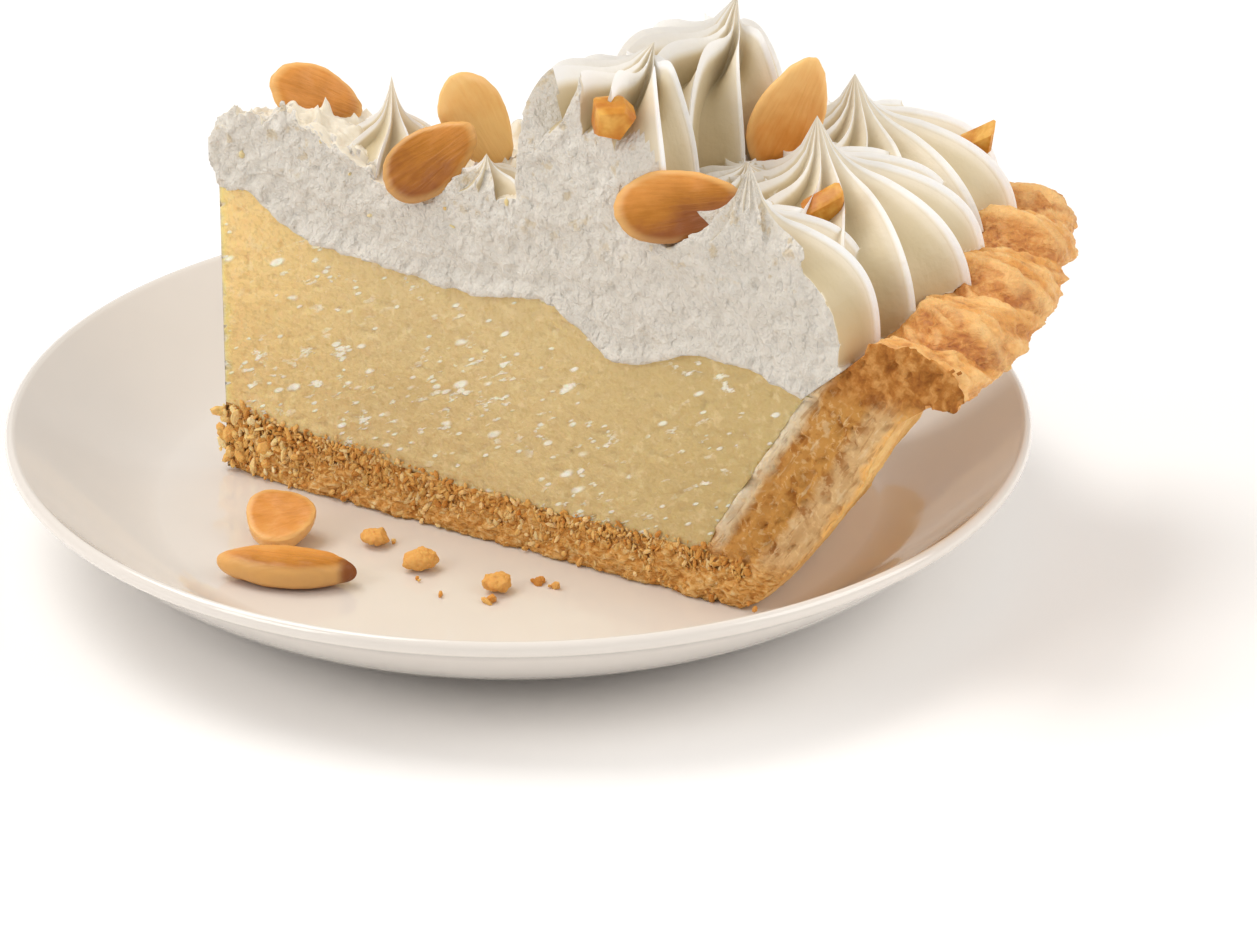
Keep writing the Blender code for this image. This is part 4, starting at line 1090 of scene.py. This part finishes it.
def cream_relief(s, h, side):
    """Drag marks of the knife, soft lumps, and a lip that hangs over the custard. On the front
    face a mound of cream stands out under the nut there."""
    z = side * 3
    lean = np.where(s < 50, 0.9, 0.2)
    across = s - h * lean
    drag = 0.32 * FIELD.rough(across / 1.8, h / 2.9, z + 1)
    lumps = 0.5 * FIELD.smooth(s / 6, h / 5, z + 2) + 0.34 * FIELD.rough(s / 1.6, h / 1.9, z + 6)
    torn = smoothstep(45, 8, s) * 0.5 * FIELD.rough(s / 2.6, h / 2.4, z + 7)
    pits = -0.45 * smoothstep(0.5, 0.85, FIELD.rough(s / 2.4, h / 2.6, z + 3, octaves=2))
    below = 0.7 * ((s - 86.2) * 0.93 + 61.6 - h)
    mound = 2.1 * smoothstep(-0.3, 1.8, below) * np.exp(-((s - 90) / 6.5) ** 2 - ((h - 60) / 6.5) ** 2)
    mound = np.where(side < 0, mound, 0.0)
    edge = h - along(CUSTARD_TOP, s - 2)
    lip = (1.0 + 0.6 * FIELD.smooth(s / 3.1, h / 9, z + 4)) * np.exp(-((edge - 0.1) / 1.3) ** 2)
    return drag + lumps + torn + pits + lip + mound


def tip_lump(look):
    """Cream that stands past the custard's tip: a ball with an uneven surface."""
    rows, columns = 24, 40
    polar = np.linspace(0, math.pi, rows)[:, None]
    turn = np.linspace(0, FULL_TURN, columns, endpoint=False)[None, :]
    ball = np.stack(np.broadcast_arrays(
        np.sin(polar) * np.cos(turn), np.sin(polar) * np.sin(turn), np.cos(polar)), -1)
    rough = 1 + 0.2 * FIELD.rough(*(ball[..., k] * 2.8 for k in range(3)))
    points = on_slice(*TIP_LUMP_PLACE) + ball * np.array(TIP_LUMP_RADII) * MM * rough[..., None]
    faces = quads(rows, columns, wrap=True)
    return tidy(new_object("tip_lump", points.reshape(-1, 3), faces, look), merge=1e-5)


def swirl(recipe, name, look):
    """One star swirl, as its row says."""
    radius, angle, (foot, dome, peak), size, ridges, first, shoulder, lean = SWIRLS[name]
    obj = new_object(name, [(0, 0, 0)], [])
    recipe.run(obj, size=size * MM, dome=(dome - foot) * MM, pull=(peak - dome) * MM, ridges=ridges,
               first=math.radians(first), shoulder=shoulder, lean=(lean[0] * MM, lean[1] * MM, 0.0),
               twist=math.radians(TWISTS.get(name, TWIST)), uneven=UNEVEN, crown=CROWNS.get(name, 0.0) * MM,
               material=look)
    place(obj, positions(obj) + on_slice(radius, math.radians(angle), foot))
    return tidy(obj, merge=2e-6)


def make_cream(piped, cut):
    """Layer, tip and swirls in one, cut to the slice and then by the crust it lies on."""
    cream = sweep("whipped_cream", cream_section, past_the_cuts(9, 150), piped, cut)
    recipe = swirl_recipe()
    boolean(cream, "UNION", tip_lump(piped), *[swirl(recipe, name, piped) for name in SWIRLS])
    boolean(cream, "INTERSECT", wedge("cream_cut", cream_relief, (33.0, 96.0), spacing=0.5, reach=132.0,
                                      overhang=CREAM_OVERHANG))
    boolean(cream, "DIFFERENCE", sweep("crust_place", crust_section(False), past_the_cuts(12, 160)))
    cut_faces(cream, slack=2.8 * MM, high_slack=2.8 * MM, overhang=CREAM_OVERHANG)
    return finish(cream, "cream")


# ---------------------------------------------------------------- nuts and crumbs

def facing(length_axis, face_axis):
    """Rotation with X along the piece and Z out of its broad face."""
    x = Vector(length_axis).normalized()
    z = Vector(face_axis)
    z = (z - x * z.dot(x)).normalized()
    return Matrix((x, z.cross(x), z)).transposed().to_4x4()


def nut(name, size, matrix, look):
    """A nut: egg-shaped outline with nearly flat faces and a rounded edge. Its rows run from
    the middle of the upper face to the middle of the lower one."""
    length, width, crown, belly = size
    climb = np.linspace(0, math.pi, NUT_ROWS)[:, None]
    turn = np.linspace(0, FULL_TURN, NUT_SIDES, endpoint=False)[None, :]
    share = np.sin(climb) ** (2 / NUT_SQUARENESS) * np.ones_like(turn)
    level = np.sign(np.cos(climb)) * np.abs(np.cos(climb)) ** 0.9
    start = sum(ord(letter) for letter in name)         # gives each nut its own dents
    toast, lengthwise, crosswise, very_end, dish, point = TOAST[name]
    edge = 1 + 0.035 * FIELD.rough(np.cos(turn) * 2.2 + start, np.sin(turn) * 2.2, 0.5)
    x = length / 2 * share * np.cos(turn) * edge
    egg = 0.0 if point > 0.5 else EGG
    y = width / 2 * share * np.sin(turn) * (1 - egg * np.cos(turn)) * edge * np.abs(np.sin(turn)) ** point
    height = np.where(level > 0, crown, belly) * level
    dents = 0.14 * FIELD.rough(x / 4 + start, y / 3, level) * np.ones_like(share)
    z = height * (1 - 0.12 * share) + dents * (np.abs(level) > 0.02)
    z = z - dish * np.clip(1 - (share / 0.86) ** 2, 0, 1) * smoothstep(0.0, 0.4, level)
    points = np.stack([x, y, z], -1).reshape(-1, 3) * MM
    obj = new_object(name + "_slice", points, quads(NUT_ROWS, NUT_SIDES, wrap=True), look)
    layer = obj.data.uv_layers.new(name="UVMap")
    flat = np.stack([share * np.cos(turn), share * np.sin(turn)], -1).reshape(-1, 2)
    corner = np.empty(len(obj.data.loops), int)
    obj.data.loops.foreach_get("vertex_index", corner)
    layer.data.foreach_set("uv", flat[corner].reshape(-1))
    place(obj, [matrix @ Vector(p) for p in points])
    store(obj, "toast", toast + lengthwise * flat[:, 0] + crosswise * flat[:, 1]
          + very_end * smoothstep(0.72, 0.95, flat[:, 0]))
    return tidy(obj, merge=1e-6)


def make_nuts(look):
    """Nuts that stick in the cream, and those that lie on the plate."""
    for name, ((radius, angle, height), (length, width, thick), along_axis, face_axis) in NUTS.items():
        centre = Vector(on_slice(radius, math.radians(angle), height))
        stand = Matrix.Translation(centre) @ facing(along_axis, face_axis)
        finish(nut(name, (length, width, thick / 2, thick / 2), stand, look), name)
    for name, ((x, y), size, turn, tilt) in PLATE_NUTS.items():
        lie = Matrix.Rotation(math.radians(tilt), 4, "X") @ Matrix.Rotation(math.radians(turn), 4, "Z")
        obj = nut(name, size, lie, look)
        points = positions(obj)
        shift = (PLATE_CENTRE.x + x * MM, PLATE_CENTRE.y + y * MM, WELL_LEVEL - points[:, 2].min())
        place(obj, points + shift)
        finish(obj, name)


def softened(node, name, look, bevel, rough):
    """Finer copy of a small CAD node with an uneven surface; a bevel keeps its faces flat, and
    without one it is rounded all over."""
    obj = bpy.data.objects.new(name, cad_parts[node].data.copy())
    bpy.context.collection.objects.link(obj)
    obj.data.materials.clear()
    obj.data.materials.append(look)
    tidy(obj, merge=1e-5)
    edge = obj.modifiers.new("edge", "BEVEL")
    edge.width = bevel
    edge.segments = 2
    edge.limit_method = "ANGLE"
    edge.angle_limit = math.radians(25)
    fine = obj.modifiers.new("fine", "SUBSURF")
    fine.levels = 2
    fine.render_levels = 2
    fine.subdivision_type = "SIMPLE" if bevel else "CATMULL_CLARK"
    applied(obj)
    points = positions(obj)
    centre = points.mean(0)
    away = (points - centre) / np.linalg.norm(points - centre, axis=1)[:, None]
    bumps = FIELD.rough(*(points[:, k] / MM / 1.3 for k in range(3)))
    place(obj, points + away * (rough * bumps)[:, None])
    obj.data.shade_smooth()
    if bevel:
        obj.data.set_sharp_from_angle(angle=math.radians(32))
    store(obj, "tone", np.full(len(points), 0.45))
    return obj


def panel(name, low, high, rows=3):
    """Sheet of faces between two lines of points, to strew crumbs on."""
    share = np.linspace(0.0, 1.0, rows)[:, None, None]
    points = np.asarray(low)[None] * (1 - share) + np.asarray(high)[None] * share
    return new_object(name, points.reshape(-1, 3), quads(rows, points.shape[1]))


def strew(recipe, name, sheets, look, seed, density, apart, size, shape, rough):
    """One piece of crumbs from several sheets. Density is in crumbs a square metre, the space
    between them and their size are in millimetres."""
    parts = []
    for number, (low, high) in enumerate(sheets):
        sheet = panel(name, low, high)
        recipe.run(sheet, seed=seed + number, material=look, density=density, apart=apart * MM,
                   size=size * MM, shape=shape, rough=rough)
        parts.append(sheet)
    whole = parts[0]
    with bpy.context.temp_override(active_object=whole, selected_editable_objects=parts):
        bpy.ops.object.join()
    return finish(whole, None)


def on_cuts(first, last, low, high, push):
    """A sheet along each cut face. Its edges are at heights given by functions of the radius,
    and push is how far it stands out."""
    reach = np.linspace(first, last, 50)
    sheets = []
    for angle, side in CUTS:
        shift = push * MM * outward(angle, side)
        sheets.append([on_slice(reach, angle, edge(reach)) + shift for edge in (low, high)])
    return sheets


def on_plate(x, y):
    """A small square sheet just above the plate's well."""
    corner = np.array((PLATE_CENTRE.x + x * MM, y * MM, WELL_LEVEL + 0.35 * MM))
    wide = np.array((SPOT_HALF * MM, 0.0, 0.0))
    deep = np.array((0.0, SPOT_HALF * MM, 0.0))
    return ([corner - wide - deep, corner + wide - deep], [corner - wide + deep, corner + wide + deep])


def even(height):
    """An edge of a sheet that stays at one height."""
    return lambda reach: height + 0 * reach


def over_base(height):
    """An edge at a height over the base's top."""
    return lambda reach: along(BASE_TOP, np.abs(reach)) + height


def over_cream(height):
    """An edge at a height over the top of the cream's layer."""
    return lambda reach: along(CREAM_TOP, reach) + height


def make_crumbs():
    """Broken chips, crumbs on the plate, and the flakes on the crust's cut faces."""
    chip = broken_nut()
    loose = crumb_look("loose_crumb", (190, 122, 48), (222, 156, 76), (240, 190, 112), (248, 216, 152))
    flake = crumb_look("base_flake", (188, 122, 50), (216, 156, 78), (234, 184, 110), (250, 220, 168))
    golden = crumb_look("golden_speck", (214, 178, 112), (232, 206, 150), (240, 226, 188))
    # tip crumbs: painted lighter, as painted light on the brightly lit tip
    pale = crumb_look("tip_crumb", (228, 164, 80), (244, 196, 118), (250, 216, 152), (254, 236, 192))
    for node in CHIPS:
        finish(softened(node, node + "_broken", chip, bevel=0.12 * MM, rough=0.04 * MM), node)
    for node in CRUMBS:
        finish(softened(node, node + "_rough", loose, bevel=0.0, rough=0.45 * MM), node)
    recipe = crumb_recipe()
    on_base = on_cuts(1.0, 97.0, even(0.6), over_base(-0.2), 0.4)
    on_edge = on_cuts(1.0, 90.0, over_base(-0.6), over_base(1.0), 0.3)
    at_tip = on_cuts(-1.2, 15.0, even(0.8), over_base(-0.5), 0.5)
    at_foot = on_cuts(2.0, 99.0, even(0.3), even(1.4), 1.3)
    spots = [on_plate(x, y) for x, y in PLATE_SPOTS]
    in_cream = on_cuts(2.0, 56.0, over_cream(-8.0), over_cream(0.0), 0.2)
    # name, sheets, look, seed; how dense, how far apart, size, shape and roughness
    strew(recipe, "base_flakes", on_base, flake, 3, 9e6, 0.44, 0.44, (1.8, 0.75, 0.58), 1.3)
    strew(recipe, "base_edge", on_edge, flake, 8, 3e6, 0.62, 0.42, (1.4, 0.8, 0.6), 1.2)
    strew(recipe, "tip_clumps", at_tip, pale, 10, 6e5, 1.0, 0.75, (1.6, 0.85, 0.65), 1.4)
    strew(recipe, "foot_crumbs", at_foot, flake, 12, 7e5, 1.1, 0.5, (1.2, 0.9, 0.7), 1.2)
    strew(recipe, "plate_crumbs", spots, loose, 20, 2e6, 0.75, 0.75, (1.2, 0.95, 0.75), 1.2)
    strew(recipe, "golden_specks", in_cream, golden, 30, 4e4, 2.6, 0.5, (1.3, 0.9, 0.6), 0.8)


# ---------------------------------------------------------------- room

CAMERA_ELEVATION = math.radians(25.1)
CAMERA_DISTANCE = 1.2
CAMERA_ROLL = math.radians(-0.69)
FOCAL_PIXELS = 7605.0               # focal length in the picture's pixels
FRAME_SIZE = (1257, 937)
TARGET_RISE = 12 * MM               # of the camera's target over the well, at the plate's middle
TARGET_PIXEL = (518.7, 424.1)       # where the target shows
FLOOR_HALF = 3.0
# lights: place, width and depth, watts, colour
LIGHTS = {
    "key": ((-0.45, 0.15, 0.92), (0.6, 0.6), 5.1, (1.0, 0.97, 0.93)),
    "front": ((-0.9, -0.55, 0.7), (0.5, 0.5), 3.4, (1.0, 0.98, 0.96)),
    "fill": ((0.85, -0.2, 0.6), (0.8, 0.6), 4.4, (1.0, 0.98, 0.95)),
}
LIGHT_TARGET = (0.0, 0.0, 0.03)


def make_camera():
    """Camera that looks down at the plate as the photo does."""
    target = PLATE_CENTRE + Vector((0, 0, WELL_LEVEL + TARGET_RISE))
    forward = Vector((0, math.cos(CAMERA_ELEVATION), -math.sin(CAMERA_ELEVATION)))
    right = Vector((1, 0, 0))
    up = right.cross(forward)
    spot = target - forward * CAMERA_DISTANCE
    across = FRAME_SIZE[0] / 2 - TARGET_PIXEL[0]
    down = FRAME_SIZE[1] / 2 - TARGET_PIXEL[1]
    roll = Matrix.Rotation(CAMERA_ROLL, 4, "Z")
    basis = Matrix((right, up, -forward)).transposed().to_4x4() @ roll
    aim = (basis.to_3x3() @ Vector((across, -down, -FOCAL_PIXELS))).normalized()
    side = aim.cross(basis.to_3x3() @ Vector((0, 1, 0))).normalized()
    basis = Matrix((side, side.cross(aim), -aim)).transposed().to_4x4()
    data = bpy.data.cameras.new("camera")
    data.sensor_width = 36.0
    data.lens = FOCAL_PIXELS * data.sensor_width / FRAME_SIZE[0]
    data.clip_start = 0.01
    camera = bpy.data.objects.new("camera", data)
    camera.matrix_world = Matrix.Translation(spot) @ basis
    bpy.context.collection.objects.link(camera)
    bpy.context.scene.camera = camera


def area_light(name, spot, size, power, colour):
    """Soft light that looks at the slice."""
    data = bpy.data.lights.new(name, "AREA")
    data.shape = "RECTANGLE"
    data.size, data.size_y = size
    data.energy = power
    data.color = colour
    light = bpy.data.objects.new(name, data)
    light.location = spot
    light.rotation_euler = (Vector(LIGHT_TARGET) - Vector(spot)).to_track_quat("-Z", "Y").to_euler()
    bpy.context.collection.objects.link(light)


def make_room():
    """Plain pale floor, soft lights and an even world."""
    corners = [(x * FLOOR_HALF, y * FLOOR_HALF, 0.0) for x, y in ((-1, -1), (1, -1), (1, 1), (-1, 1))]
    floor = new_object("floor", corners, [(0, 1, 2, 3)], plain("pale_floor", (253, 252, 251), 0.6))
    world = bpy.data.worlds.new("soft_room")
    world.use_nodes = True
    background = world.node_tree.nodes["Background"]
    background.inputs["Color"].default_value = (1.0, 0.985, 0.97, 1.0)
    background.inputs["Strength"].default_value = 0.55
    bpy.context.scene.world = world
    for name, row in LIGHTS.items():
        area_light(name, *row)
    bpy.context.scene.view_settings.view_transform = "Standard"


def main():
    """Every piece, from the plate up, then the room."""
    make_camera()
    make_plate(glaze())
    make_crust(baked_skin(), crumb_face())
    make_custard(custard_look())
    make_cream(piped_cream(), cut_cream())
    make_nuts(toasted())
    make_crumbs()
    make_room()


main()
